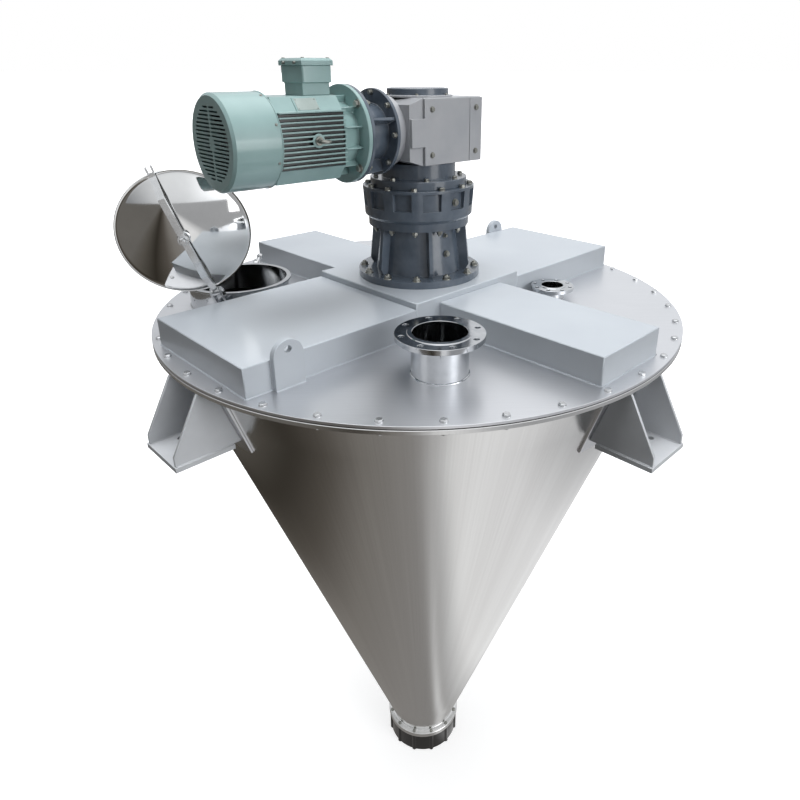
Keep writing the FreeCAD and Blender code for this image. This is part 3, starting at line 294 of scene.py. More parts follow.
def ground_cone_steel():
    """Stainless ground along the cone with a belt: soft vertical streaks that run down to the tip.

    Real grit leaves lines of 0.1 mm, drawn here 6 mm wide at the rim so that they show."""
    streak_width, cloud_width, stretch_along = 6 * mm, 110 * mm, 0.004
    colour, dark, roughness = "#E0E0DF", "#D6D5D4", 0.22
    paint, tree, shader, place = material("ground_stainless_cone", colour, 1.0, roughness)
    axes = add_node(tree, "ShaderNodeSeparateXYZ", None, {0: place})
    level = add_node(tree, "ShaderNodeCombineXYZ", None, {0: axes.outputs["X"], 1: axes.outputs["Y"]})
    azimuth = add_node(tree, "ShaderNodeVectorMath", {"operation": "NORMALIZE"}, {0: level.outputs[0]})
    rise = add_node(tree, "ShaderNodeMath", {"operation": "MULTIPLY", 1: stretch_along},
                    {0: axes.outputs["Z"]})
    lifted = add_node(tree, "ShaderNodeCombineXYZ", None, {2: rise.outputs[0]})
    along = add_node(tree, "ShaderNodeVectorMath", {"operation": "ADD"},
                     {0: azimuth.outputs[0], 1: lifted.outputs[0]})
    lines = add_node(tree, "ShaderNodeTexNoise", {"Scale": cone_top_radius / streak_width, "Detail": 3.0},
                     {"Vector": along.outputs[0]})
    clouds = add_node(tree, "ShaderNodeTexNoise", {"Scale": cone_top_radius / cloud_width, "Detail": 2.0},
                      {"Vector": along.outputs[0]})
    ground_finish(tree, shader, lines.outputs[0], clouds.outputs[0], colour, dark, roughness, 0.012)
    return paint


def lathe(outline, steps=96):
    """Spins a closed (radius, height) outline about Z."""
    bm = bmesh.new()
    ring = [bm.verts.new((r, 0.0, z)) for r, z in outline]
    edges = [bm.edges.new(pair) for pair in zip(ring, ring[1:] + ring[:1])]
    bmesh.ops.spin(bm, geom=ring + edges, cent=(0, 0, 0), axis=(0, 0, 1), dvec=(0, 0, 0),
                   angle=2 * math.pi, steps=steps, use_merge=True)
    bmesh.ops.remove_doubles(bm, verts=bm.verts, dist=0.01 * mm)
    return bm


def add_piece(name, bm, nodes, paint, edge=0.0, sharp=30.0):
    """Makes a finished piece: shading, edges broken by edge millimetres, material and CAD nodes.

    A node given in a tuple only carries the piece and stays visible; any other is replaced by it."""
    carrier = nodes[0] if isinstance(nodes, (list, tuple)) else nodes
    corner_from = math.radians(35)
    bmesh.ops.recalc_face_normals(bm, faces=bm.faces)
    for face in bm.faces:
        face.smooth = True
    for line in bm.edges:
        line.smooth = line.calc_face_angle(0.0) < math.radians(sharp)
    if edge:
        corners = [line for line in bm.edges if line.is_manifold and line.calc_face_angle(0.0) > corner_from]
        broken = bmesh.ops.bevel(bm, geom=corners, offset=edge * mm, offset_type="OFFSET", segments=1,
                                 profile=0.5, affect="EDGES", clamp_overlap=True)
        strips = set(broken["faces"])
        for line in {line for face in strips for line in face.edges}:
            line.smooth = all(face in strips for face in line.link_faces)
    mesh = bpy.data.meshes.new(name)
    bm.to_mesh(mesh)
    bm.free()
    mesh.materials.append(paint)
    piece = bpy.data.objects.new(name, mesh)
    bpy.context.scene.collection.objects.link(piece)
    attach(piece, body_of[carrier])
    if not isinstance(nodes, tuple):
        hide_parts(*([nodes] if isinstance(nodes, str) else nodes))
    return piece


def cone_radius(height):
    return cone_top_radius + (height - datum) * cone_slope


flange_top = datum - 4 * mm
flange_low = datum - 22 * mm
outlet_high = tip + 28 * mm
vessel_outline = [
    (cone_radius(flange_top) - shell_wall, flange_top),
    (rim_radius - 2 * mm, flange_top),
    (rim_radius, flange_top - 2 * mm),
    (rim_radius, flange_low + 2 * mm),
    (rim_radius - 2 * mm, flange_low),
    (cone_radius(flange_low) + 9 * mm, flange_low),
    (cone_radius(flange_low) + 2 * mm, flange_low - 3 * mm),
    (cone_radius(flange_low - 12 * mm), flange_low - 12 * mm),
]
bands = 14
for k in range(1, bands):
    height = flange_low + (outlet_high - flange_low) * k / bands
    vessel_outline.append((cone_radius(height), height))
vessel_outline += [
    (cone_radius(outlet_high + 9 * mm), outlet_high + 9 * mm),
    (cone_radius(outlet_high) + 4 * mm, outlet_high + 2 * mm),
    (cone_radius(outlet_high) + 9 * mm, outlet_high),
    (outlet_flange_radius - 2 * mm, outlet_high),
    (outlet_flange_radius, outlet_high - 2 * mm),
    (outlet_flange_radius, tip + 1 * mm),
    (outlet_flange_radius - 1 * mm, tip),
    (outlet_bore, tip),
    (cone_radius(outlet_high) - shell_wall, outlet_high),
]
add_piece("cone_vessel", lathe(vessel_outline, 224), "vessel_shell", ground_cone_steel())


# Cover
# A flat stainless plate cut to the flange's diameter and brushed across, with holes for the nozzles,
# the manhole and the spindle. It is bolted to the flange over a thin rubber gasket.
def brushed_steel(name, colour, dark, grain, roughness, cloud, depth):
    """Metal brushed or polished one way; grain is a scratch's size in millimetres along x, y and z.

    Real scratches are a tenth of a millimetre wide and are drawn wider so that they show."""
    paint, tree, shader, place = material(name, colour, 1.0, roughness)
    stretch = add_node(tree, "ShaderNodeMapping", {"Scale": [1000.0 / g for g in grain]}, {"Vector": place})
    lines = add_node(tree, "ShaderNodeTexNoise", {"Scale": 1.0, "Detail": 3.0},
                     {"Vector": stretch.outputs[0]})
    clouds = add_node(tree, "ShaderNodeTexNoise", {"Scale": 1000.0 / cloud, "Detail": 2.0},
                      {"Vector": place})
    ground_finish(tree, shader, lines.outputs[0], clouds.outputs[0], colour, dark, roughness, depth)
    return paint


def refined(node, paint, edge=1.0):
    """A CAD node with its loose triangles merged into whole faces and its edges broken."""
    bm = bmesh.new()
    bm.from_mesh(frame["nodes"][node].data)
    bmesh.ops.remove_doubles(bm, verts=bm.verts, dist=0.002 * mm)
    bmesh.ops.dissolve_limit(bm, angle_limit=math.radians(0.4), verts=bm.verts, edges=bm.edges)
    return add_piece(node + "_finished", bm, node, paint, edge)


def finish(node, paint):
    """Gives a CAD node that shows as it is its material."""
    frame["nodes"][node].data.materials.clear()
    frame["nodes"][node].data.materials.append(paint)


def rubber(name, colour):
    """Moulded rubber: dark and dull, with a faint mottle from the mould."""
    mottle_width = 3.0
    paint, tree, shader, place = material(name, colour, 0.0, 0.6)
    mottle = add_node(tree, "ShaderNodeTexNoise", {"Scale": 1000.0 / mottle_width, "Detail": 2.0},
                      {"Vector": place})
    bump = add_node(tree, "ShaderNodeBump", {"Strength": 0.15, "Distance": 0.3 * mm},
                    {"Height": mottle.outputs[0]})
    tree.links.new(bump.outputs[0], shader.inputs["Normal"])
    return paint


# Brushed along x, it smears what it mirrors into one soft pale sheen.
brushed_cover = brushed_steel("brushed_stainless_cover", "#E4E5E8", "#DCDDE0", grain=(320, 5, 5),
                              roughness=0.34, cloud=300, depth=0.01)
refined("cover_plate", brushed_cover, 1.2)
black_rubber = rubber("black_rubber", "#1A1A1B")
finish("cover_gasket", black_rubber)


# Cover bolts
# Thirty-six stainless hexagon bolts with washers clamp the cover to the flange, each with a nut and
# a washer below.
cover_bolt_circle = 1205 * mm
cover_bolt_count = 36
cover_bolt_from = 5
cover_bolt_flats = 24 * mm


def turn(angle, axis="Z"):
    return Matrix.Rotation(math.radians(angle), 4, axis)


def shift(x, y, z):
    return Matrix.Translation((x, y, z))


def post(bm, place, steps, low_radius, high_radius, low, height):
    """Adds a closed round post with steps sides, standing on place's XY plane from low upwards."""
    bmesh.ops.create_cone(bm, cap_ends=True, segments=steps, radius1=low_radius, radius2=high_radius,
                          depth=height, matrix=place @ shift(0, 0, low + height / 2))


def hex_bolt(bm, place, flats, head, washer=1.0, thread=0.0):
    """A chamfered hexagon head seated on place; washer scales the washer's width, 0 leaves it out.

    thread is the length of thread that stands out past a nut."""
    corner = flats / math.sqrt(3.0)
    lift = 2.5 * mm if washer else 0.0
    chamfer = 0.18 * head
    straight = 0.82 * head - lift
    if washer:
        post(bm, place, 24, corner * 1.12 * washer, corner * 1.08 * washer, 0.0, lift)
    post(bm, place, 6, corner, corner, lift, straight)
    post(bm, place, 6, corner, corner * 0.84, lift + straight, chamfer)
    if thread:
        post(bm, place, 16, corner * 0.52, corner * 0.46, head, thread)


upside_down = turn(180, "X")
# Turned and bright: small parts that catch a clear highlight.
stainless_bolts = brushed_steel("stainless_bolts", "#E0E1E2", "#C4C5C6", grain=(3, 3, 3),
                                roughness=0.24, cloud=40, depth=0.05)
cover_bolts = bmesh.new()
for k in range(cover_bolt_count):
    spot = turn(cover_bolt_from + 360 * k / cover_bolt_count) @ shift(cover_bolt_circle, 0, 0)
    above = spot @ shift(0, 0, deck) @ turn(30)
    below = spot @ shift(0, 0, flange_low) @ upside_down @ turn(30)
    hex_bolt(cover_bolts, above, cover_bolt_flats, 10 * mm)
    hex_bolt(cover_bolts, below, cover_bolt_flats, 14 * mm, washer=0.9)
add_piece("cover_bolts_and_nuts", cover_bolts, "cover_bolts", stainless_bolts)


# Cross beams and pedestal
# Box sections welded from 10 mm plate and painted light blue-grey: a square pedestal under the drive
# and four beams from it to the rim. They stand on the cover with a fillet weld all round.
pedestal_half = 340 * mm
narrow_half = 204 * mm
pedestal_height = 145 * mm
pedestal_bore = 165 * mm
pedestal_steps = 48
beam_height = 119 * mm
beam_end = 1156 * mm
beam_turn = 45
beams = ((0, pedestal_half), (90, narrow_half), (180, pedestal_half), (270, narrow_half))
plate_edge = 3.5


def enamel(name, colour, shade, roughness, peel, depth, cloud=240, coat=0.0):
    """Sprayed enamel: an even coat with slow changes of tone and the skin of an orange.

    peel is the width of the skin's dimples in millimetres; 2 mm ones are drawn a little coarser."""
    paint, tree, shader, place = material(name, colour, 0.0, roughness)
    clouds = add_node(tree, "ShaderNodeTexNoise", {"Scale": 1000.0 / cloud, "Detail": 4.0},
                      {"Vector": place})
    spread = add_node(tree, "ShaderNodeMapRange", {"From Min": 0.35, "From Max": 0.65},
                      {"Value": clouds.outputs[0]})
    tone = add_node(tree, "ShaderNodeMix", {"data_type": "RGBA", 6: linear(shade), 7: linear(colour)},
                    {0: spread.outputs[0]})
    dimples = add_node(tree, "ShaderNodeTexNoise", {"Scale": 1000.0 / peel, "Detail": 2.0},
                       {"Vector": place})
    bump = add_node(tree, "ShaderNodeBump", {"Strength": depth, "Distance": 0.5 * mm},
                    {"Height": dimples.outputs[0]})
    shader.inputs["Coat Weight"].default_value = coat
    shader.inputs["Coat Roughness"].default_value = 0.12
    tree.links.new(tone.outputs[2], shader.inputs["Base Color"])
    tree.links.new(bump.outputs[0], shader.inputs["Normal"])
    return paint


def weld(bm, start, end, radius=3.5, ripple=9.0):
    """A bead of weld between two points, a rod whose girth swells at each ripple."""
    start, end = Vector(start), Vector(end)
    run = end - start
    direction = run.normalized()
    lie = Matrix.Translation((start + end) / 2) @ run.to_track_quat("Z", "Y").to_matrix().to_4x4()
    made = bmesh.ops.create_cone(bm, cap_ends=True, segments=8, radius1=radius * mm, radius2=radius * mm,
                                 depth=run.length, matrix=lie)
    long_edges = []
    for line in {line for vert in made["verts"] for line in vert.link_edges}:
        if abs((line.verts[0].co - line.verts[1].co).normalized().dot(direction)) > 0.99:
            long_edges.append(line)
    cuts = max(2, int(run.length / (ripple * mm) * 2))
    cut = bmesh.ops.subdivide_edges(bm, edges=long_edges, cuts=cuts, use_grid_fill=True)
    for item in cut["geom_inner"]:
        if isinstance(item, bmesh.types.BMVert):
            along = (item.co - start).dot(direction)
            axis_point = start + direction * along
            swell = 1.0 + 0.16 * math.sin(2 * math.pi * along / (ripple * mm))
            item.co = axis_point + (item.co - axis_point) * swell


# Satin paint: flat tones that shade softly from face to face, under a thin gloss.
beam_enamel = enamel("blue_grey_enamel", "#C3C9CF", "#BCC2C9", roughness=0.33, peel=2.6, depth=0.08,
                     cloud=420, coat=0.4)
wide_boxes, narrow_boxes = bmesh.new(), bmesh.new()
for angle, half in beams:
    middle = shift((pedestal_half + beam_end) / 2, 0, deck + beam_height / 2)
    size = Matrix.Diagonal((beam_end - pedestal_half, 2 * half, beam_height, 1))
    boxes = narrow_boxes if half < pedestal_half else wide_boxes
    bmesh.ops.create_cube(boxes, size=1.0, matrix=turn(beam_turn + angle) @ middle @ size)
add_piece("wide_box_beams", wide_boxes, "wide_beams", beam_enamel, plate_edge)
add_piece("narrow_box_beams", narrow_boxes, "narrow_beams", beam_enamel, plate_edge)
pedestal_block = bmesh.new()
pedestal_top = deck + pedestal_height
loops = []
for bored, height in ((False, deck), (False, pedestal_top), (True, pedestal_top), (True, deck)):
    loop = []
    for k in range(pedestal_steps):
        a = 2 * math.pi * k / pedestal_steps
        reach = pedestal_bore if bored else pedestal_half / max(abs(math.cos(a)), abs(math.sin(a)))
        loop.append(pedestal_block.verts.new((reach * math.cos(a), reach * math.sin(a), height)))
    loops.append(loop)
for low, high in zip(loops, loops[1:] + loops[:1]):
    for k in range(pedestal_steps):
        after = (k + 1) % pedestal_steps
        pedestal_block.faces.new((low[k], low[after], high[after], high[k]))
pedestal_block.transform(turn(beam_turn))
add_piece("pedestal_block", pedestal_block, "drive_pedestal", beam_enamel, plate_edge)
beam_welds = bmesh.new()
for angle, half in beams:
    lie = turn(beam_turn + angle)
    for side in (-1, 1):
        root = lie @ Vector((pedestal_half, side * half, deck))
        weld(beam_welds, root, lie @ Vector((beam_end, side * half, deck)))
    weld(beam_welds, lie @ Vector((beam_end, -half, deck)), lie @ Vector((beam_end, half, deck)))
    for side in (-1, 1):
        if half < pedestal_half:
            root = lie @ Vector((pedestal_half, side * half, deck))
            weld(beam_welds, root, lie @ Vector((pedestal_half, side * pedestal_half, deck)))
            weld(beam_welds, root, lie @ Vector((pedestal_half, side * half, deck + beam_height)), 2.6)
add_piece("beam_welds", beam_welds, ("wide_beams",), beam_enamel)


# Lifting lugs
# Two flame-cut eye plates welded upright to the sides of the wide beams, painted with them.
refined("lifting_lugs", beam_enamel, 1.6)
lug_inner, lug_outer = 924 * mm, 1048 * mm
lug_back = pedestal_half + 1 * mm
lug_face = pedestal_half + 25 * mm
lug_weld_top = deck + 112 * mm
lug_welds = bmesh.new()
for angle in (225, 45):
    lie = turn(angle)
    for lug_edge in (lug_inner, lug_outer):
        weld(lug_welds, lie @ Vector((lug_edge, lug_back, deck)),
             lie @ Vector((lug_edge, lug_back, lug_weld_top)), 3.0)
    weld(lug_welds, lie @ Vector((lug_inner, lug_face, deck)), lie @ Vector((lug_outer, lug_face, deck)))
add_piece("lug_welds", lug_welds, ("lifting_lugs",), beam_enamel)


# Support brackets
# A rolled pad on the cone carries two ribs and a foot plate with bolt holes; cut from plate, welded
# and sprayed light grey. The vessel hangs on them in the opening of a floor.
bracket_edge = 1.4
foot_top = datum - 278 * mm
foot_inner, foot_outer = 1122 * mm, 1342 * mm
rib_middle = 112 * mm
rib_side = 6.5 * mm
# Flat grey paint, duller than the beams'.
bracket_enamel = enamel("light_grey_enamel", "#D2D4D7", "#C6C8CB", roughness=0.36, peel=2.6, depth=0.12,
                        cloud=200, coat=0.2)
refined("bracket_feet", bracket_enamel, bracket_edge)
refined("bracket_ribs", bracket_enamel, bracket_edge)
refined("bracket_pads", brushed_cover, bracket_edge)
bracket_welds = bmesh.new()
for k in range(4):
    lie = turn(beam_turn + 90 * k)
    for side in (-1, 1):
        for face in (-rib_side, rib_side):
            bead = side * rib_middle + face
            weld(bracket_welds, lie @ Vector((foot_inner, bead, foot_top)),
                 lie @ Vector((foot_outer, bead, foot_top)))
add_piece("bracket_welds", bracket_welds, ("bracket_ribs",), bracket_enamel)


# Nozzles
# Pipe stubs with welding-neck flanges and raised faces, turned and polished: the large product inlet
# at the front and the small air outlet at the right.
# Polished with fine grit, it mirrors the studio with hard edges and strong contrast.
polished_steel = brushed_steel("polished_stainless", "#D2D4D6", "#BFC1C4", grain=(30, 30, 30),
                               roughness=0.10, cloud=160, depth=0.015)
refined("inlet_nozzle", polished_steel, 1.5)
refined("vent_nozzle", polished_steel, 1.2)
inlet_centre, inlet_pipe = (95 * mm, -834 * mm), 111 * mm
vent_centre, vent_pipe = (661 * mm, 28 * mm), 58 * mm
inlet_flange_low = deck + 141 * mm


def ring_weld(centre, radius, height, bead, steps=72):
    """A bead of weld round a pipe where it meets the deck or a flange."""
    outline = []
    for k in range(8):
        a = 2 * math.pi * k / 8
        outline.append((radius + bead * math.cos(a), height + bead * math.sin(a)))
    bm = lathe(outline, steps)
    bm.transform(shift(centre[0], centre[1], 0))
    return bm


inlet_weld = ring_weld(inlet_centre, inlet_pipe, deck, 4 * mm)
inlet_flange_weld = ring_weld(inlet_centre, inlet_pipe, inlet_flange_low, 3.5 * mm)
vent_weld = ring_weld(vent_centre, vent_pipe, deck, 3 * mm)
add_piece("inlet_weld", inlet_weld, ("inlet_nozzle",), polished_steel)
add_piece("inlet_flange_weld", inlet_flange_weld, ("inlet_nozzle",), polished_steel)
add_piece("vent_weld", vent_weld, ("vent_nozzle",), polished_steel)


# Manhole neck and its pivots
# A rolled and polished neck with a turned rim. Two pairs of ears are welded on: the pair at the
# front holds the lid's hinge pin, the pair at the back holds the swing bolt.
manhole_centre = (-882 * mm, -9 * mm)
manhole_turn = 267.4
neck_radius = 236 * mm
rim_seat = deck + 116 * mm
refined("manhole_neck", polished_steel, 1.2)
refined("neck_ears", polished_steel, 1.0)
refined("pivot_pins", stainless_bolts, 1.0)
manhole_weld = ring_weld(manhole_centre, neck_radius, deck, 4 * mm, 120)
add_piece("manhole_weld", manhole_weld, ("manhole_neck",), polished_steel)


# Manhole lid
# Spun from 5 mm stainless to a shallow dome and mirror polished, with a stiff rolled rim over a
# moulded gasket. A forged bar carries it, hinged at the front and forked at the back for the swing
# bolt. It stands open, leaning to the left on its tilted hinge pin.
open_angle = 102.2
hinge = next(joint for joint in frame["joints"] if joint["name"] == "manhole_hinge")
hinge_pin = Matrix.Translation(hinge["pos_m"])
opening = Matrix.Rotation(math.radians(open_angle), 4, Vector(hinge["axis"]))
lid_place = (hinge_pin @ opening @ hinge_pin.inverted()
             @ shift(manhole_centre[0], manhole_centre[1], 0) @ turn(manhole_turn))
lid_seat = rim_seat + 6 * mm
band_top = lid_seat + 16 * mm
lid_rim = 271 * mm
dish_rise = 52 * mm
dish_chord = 262 * mm
dish_steps = 18
sheet = 5 * mm
inner_chord = 229 * mm
inner_low = lid_seat + 2 * mm
inner_rise = band_top + dish_rise - sheet - inner_low


def dish(radius, chord, rise):
    """Height of the dome above its chord plane."""
    whole = (chord ** 2 + rise ** 2) / (2 * rise)
    return rise - whole + math.sqrt(whole ** 2 - radius ** 2)


lid_outline = []
for k in range(dish_steps + 1):
    r = dish_chord * k / dish_steps
    lid_outline.append((r, band_top + dish(r, dish_chord, dish_rise)))
lid_outline += [
    (lid_rim - 6 * mm, band_top + 0.5 * mm),
    (lid_rim - 2.5 * mm, band_top + 1.5 * mm),
    (lid_rim, band_top - 1.5 * mm),
    (lid_rim, band_top - 5 * mm),
    (lid_rim - 2 * mm, band_top - 7.5 * mm),
    (lid_rim - 2 * mm, lid_seat + 2.5 * mm),
    (lid_rim - 3.5 * mm, lid_seat),
    (inner_chord, lid_seat),
]
for k in range(dish_steps, -1, -1):
    r = inner_chord * k / dish_steps
    lid_outline.append((r, inner_low + dish(r, inner_chord, inner_rise)))
lid_shell = lathe(lid_outline, 160)
lid_shell.transform(lid_place)
# Buffed to a mirror: it shows the drive and the cover, faintly blurred by the last wheel marks.
mirror_steel = brushed_steel("mirror_polished_stainless", "#E8E8E7", "#DCDCDB", grain=(60, 60, 60),
                             roughness=0.055, cloud=260, depth=0.01)
add_piece("lid_dome", lid_shell, "manhole_lid", mirror_steel, 0.0, 40.0)
finish("lid_gasket", black_rubber)
refined("clamp_bar", stainless_bolts, 2.4)
crown = band_top + dish_rise
bar_top = crown + 36 * mm
boss_outline = [
    (0, crown - 1 * mm), (27 * mm, crown - 1 * mm), (26 * mm, crown + 3 * mm), (22 * mm, crown + 5 * mm),
    (22 * mm, crown + 12 * mm), (0, crown + 12 * mm)]
lid_boss = lathe(boss_outline, 48)
lid_boss.transform(lid_place)
hex_bolt(lid_boss, lid_place @ shift(0, 0, bar_top), 30 * mm, 20 * mm, washer=1.25, thread=7 * mm)
add_piece("lid_boss_and_nut", lid_boss, "lid_centre_bolt", stainless_bolts)
refined("catch_bolt", stainless_bolts, 0.8)
refined("catch_nut", stainless_bolts, 1.2)


# Outlet valve
# A cast lug-type butterfly valve in gloss black on the outlet flange, with a moulded liner, a polished
# disc and a stem with a squared end. Bolts through the flange hold it.
valve_bolt_circle = 207 * mm
valve_bolt_count = 12
# Thick gloss coating on a rough casting: near black, with sharp small highlights.
valve_enamel = enamel("gloss_black_coating", "#111112", "#0B0B0C", roughness=0.16, peel=3.0, depth=0.25,
                      cloud=120, coat=0.6)
refined("valve_body", valve_enamel, 1.6)
finish("valve_liner", black_rubber)
refined("valve_disc", polished_steel, 0.8)
refined("valve_stem", stainless_bolts, 0.8)
# Zinc plating gone dull: grey with a yellowish cast and soft highlights.
zinc_bolts = brushed_steel("zinc_plated_bolts", "#A2A29C", "#80807A", grain=(3, 3, 3), roughness=0.34,
                           cloud=24, depth=0.08)
valve_fasteners = bmesh.new()
for k in range(valve_bolt_count):
    spot = turn((k + 0.5) * 360 / valve_bolt_count) @ shift(valve_bolt_circle, 0, outlet_high)
    hex_bolt(valve_fasteners, spot @ turn(30), 17 * mm, 8 * mm, washer=0.9)
add_piece("valve_flange_bolts", valve_fasteners, "valve_bolts", zinc_bolts)


# Cycloid reducer
# Cast iron, painted slate grey: a ribbed output housing bolted to the pedestal, the pin-gear ring
# with cast pockets round it, and the input plate under the gearbox. Zinc bolts hold the joints.
ring_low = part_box("pin_gear_housing")[0].z
ring_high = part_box("pin_gear_housing")[1].z
foot_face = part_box("reducer_output_housing")[0].z + 32 * mm
foot_circle, foot_from = 265 * mm, 29
ring_circle, ring_from = 236 * mm, 27
collar_circle = 215 * mm
collar_low = ring_low - 34 * mm
plate_circle, plate_from = 197 * mm, 12
plate_face = ring_high + 36 * mm
# Gloss enamel over a sand casting: dark, pitted, with broken highlights on every rib.
slate_enamel = enamel("slate_casting_enamel", "#5C6672", "#4C5662", roughness=0.26, peel=5.0, depth=0.25,
                      cloud=90, coat=0.6)
refined("reducer_output_housing", slate_enamel, 2.2)
refined("pin_gear_housing", slate_enamel, 2.0)
refined("reducer_input_plate", slate_enamel, 1.6)
casting_bolts = bmesh.new()
for k in range(12):
    foot_spot = turn(foot_from + 30 * k) @ shift(foot_circle, 0, foot_face) @ turn(30)
    above = turn(ring_from + 30 * k) @ shift(ring_circle, 0, ring_high) @ turn(30)
    below = turn(ring_from + 30 * k) @ shift(collar_circle, 0, collar_low) @ upside_down @ turn(30)
    hex_bolt(casting_bolts, foot_spot, 27 * mm, 15 * mm, washer=1.15, thread=6 * mm)
    hex_bolt(casting_bolts, above, 22 * mm, 13 * mm)
    hex_bolt(casting_bolts, below, 22 * mm, 18 * mm, thread=7 * mm)
add_piece("reducer_casting_bolts", casting_bolts, "reducer_bolts", zinc_bolts)
plate_bolts = bmesh.new()
for k in range(8):
    spot = turn(plate_from + 45 * k) @ shift(plate_circle, 0, plate_face)
    hex_bolt(plate_bolts, spot, 19 * mm, 12 * mm)
add_piece("input_plate_bolts", plate_bolts, ("reducer_input_plate",), zinc_bolts)


def oil_plug(bm, place, flats):
    """A hexagon plug on a sealing ring."""
    ring_height = 4 * mm
    post(bm, place, 28, flats * 0.72, flats * 0.70, 0.0, ring_height)
    hex_bolt(bm, place @ shift(0, 0, ring_height), flats, 11 * mm, washer=0.0)


outwards = turn(90, "Y")
plugs = bmesh.new()
for azimuth, radius, height, flats in ((314, 237 * mm, ring_low + 88 * mm, 24 * mm),
                                       (311, 196 * mm, foot_face + 95 * mm, 22 * mm),
                                       (311, 184 * mm, foot_face + 178 * mm, 14 * mm)):
    oil_plug(plugs, turn(azimuth) @ shift(radius, 0, height) @ outwards, flats)
add_piece("reducer_plugs", plugs, ("pin_gear_housing",), zinc_bolts)


# Gearbox
# A cast case with machined covers bolted to both sides and a round cover on top, painted mid grey.
# Its nose drops towards the motor and ends in a round snout.
drive_turn = 221.7
motor_level = (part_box("motor_shaft")[0].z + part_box("motor_shaft")[1].z) / 2
case_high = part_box("gearbox_top_cap")[0].z
drive = turn(drive_turn) @ shift(0, 0, motor_level)
along_motor = drive @ outwards
# Machine enamel on smooth castings: an even mid grey with a low sheen.
case_enamel = enamel("grey_machine_enamel", "#B2B3B6", "#A8AAAE", roughness=0.32, peel=2.2, depth=0.12,
                     cloud=160, coat=0.3)
refined("gearbox_case", case_enamel, 3.0)
refined("gearbox_side_covers", case_enamel, 1.4)
flange_high = case_high + 8 * mm
cap_high = case_high + 36 * mm
cap_flange = [
    (0, case_high), (154 * mm, case_high), (154 * mm, case_high + 6.5 * mm), (152.5 * mm, flange_high),
    (0, flange_high)]
add_piece("round_cover_flange", lathe(cap_flange), ("gearbox_top_cap",), case_enamel)
cap_outline = [
    (0, flange_high), (138 * mm, flange_high), (136 * mm, case_high + 10 * mm),
    (136 * mm, case_high + 33 * mm), (133 * mm, cap_high), (118 * mm, cap_high),
    (116 * mm, case_high + 34 * mm), (112 * mm, case_high + 34 * mm), (110 * mm, cap_high), (0, cap_high)]
add_piece("gearbox_round_cover", lathe(cap_outline), "gearbox_top_cap", slate_enamel)
cap_screws = bmesh.new()
for k in range(6):
    spot = turn(30 + 60 * k) @ shift(145 * mm, 0, flange_high)
    hex_bolt(cap_screws, spot, 11 * mm, 7 * mm, washer=0.9)
add_piece("round_cover_screws", cap_screws, ("gearbox_top_cap",), zinc_bolts)
side_face = 186 * mm
flange_face = 413 * mm
flange_back = flange_face - 34 * mm
flange_circle = 175 * mm
drive_bolts = bmesh.new()
for side in (-1, 1):
    facing = turn(-90 * side, "X")
    for along in (77 * mm, -181 * mm):
        for rise in (-93 * mm, 93 * mm):
            spot = drive @ shift(along, side * side_face, rise) @ facing
            hex_bolt(drive_bolts, spot, 19 * mm, 8 * mm, washer=1.05)
for k in range(4):
    spot = along_motor @ turn(45 + 90 * k)
    head_side = spot @ shift(flange_circle, 0, flange_face) @ turn(30)
    nut_side = spot @ shift(flange_circle, 0, flange_back) @ upside_down @ turn(30)
    hex_bolt(drive_bolts, head_side, 24 * mm, 14 * mm, washer=1.15)
    hex_bolt(drive_bolts, nut_side, 24 * mm, 15 * mm, washer=1.15, thread=9 * mm)
add_piece("drive_bolts_and_washers", drive_bolts, "drive_bolts", zinc_bolts)


# Motor adaptor
# A cast lantern with four webs between two flanges, painted slate grey, that carries the motor on the
# gearbox's snout.
adaptor_circle, adaptor_face = 160 * mm, 256 * mm
refined("motor_adaptor", slate_enamel, 1.8)
adaptor_bolts = bmesh.new()
for k in range(8):
    spot = along_motor @ turn(44.5 + 45 * k) @ shift(adaptor_circle, 0, adaptor_face)
    hex_bolt(adaptor_bolts, spot, 19 * mm, 13 * mm)
add_piece("adaptor_bolts", adaptor_bolts, ("motor_adaptor",), zinc_bolts)


# Motor
# A finned cast frame between two end shields, all sage green. A blank rating plate is riveted to the
# slanted face, and a lifting eye is screwed into a boss in the middle of the fins.
frame_start = 491 * mm
# Gloss enamel on iron castings: a greyed green with clear, slightly wavy highlights.
sage_enamel = enamel("sage_green_enamel", "#9AB7B5", "#8FACAA", roughness=0.26, peel=3.4, depth=0.16,
                     cloud=130, coat=0.4)


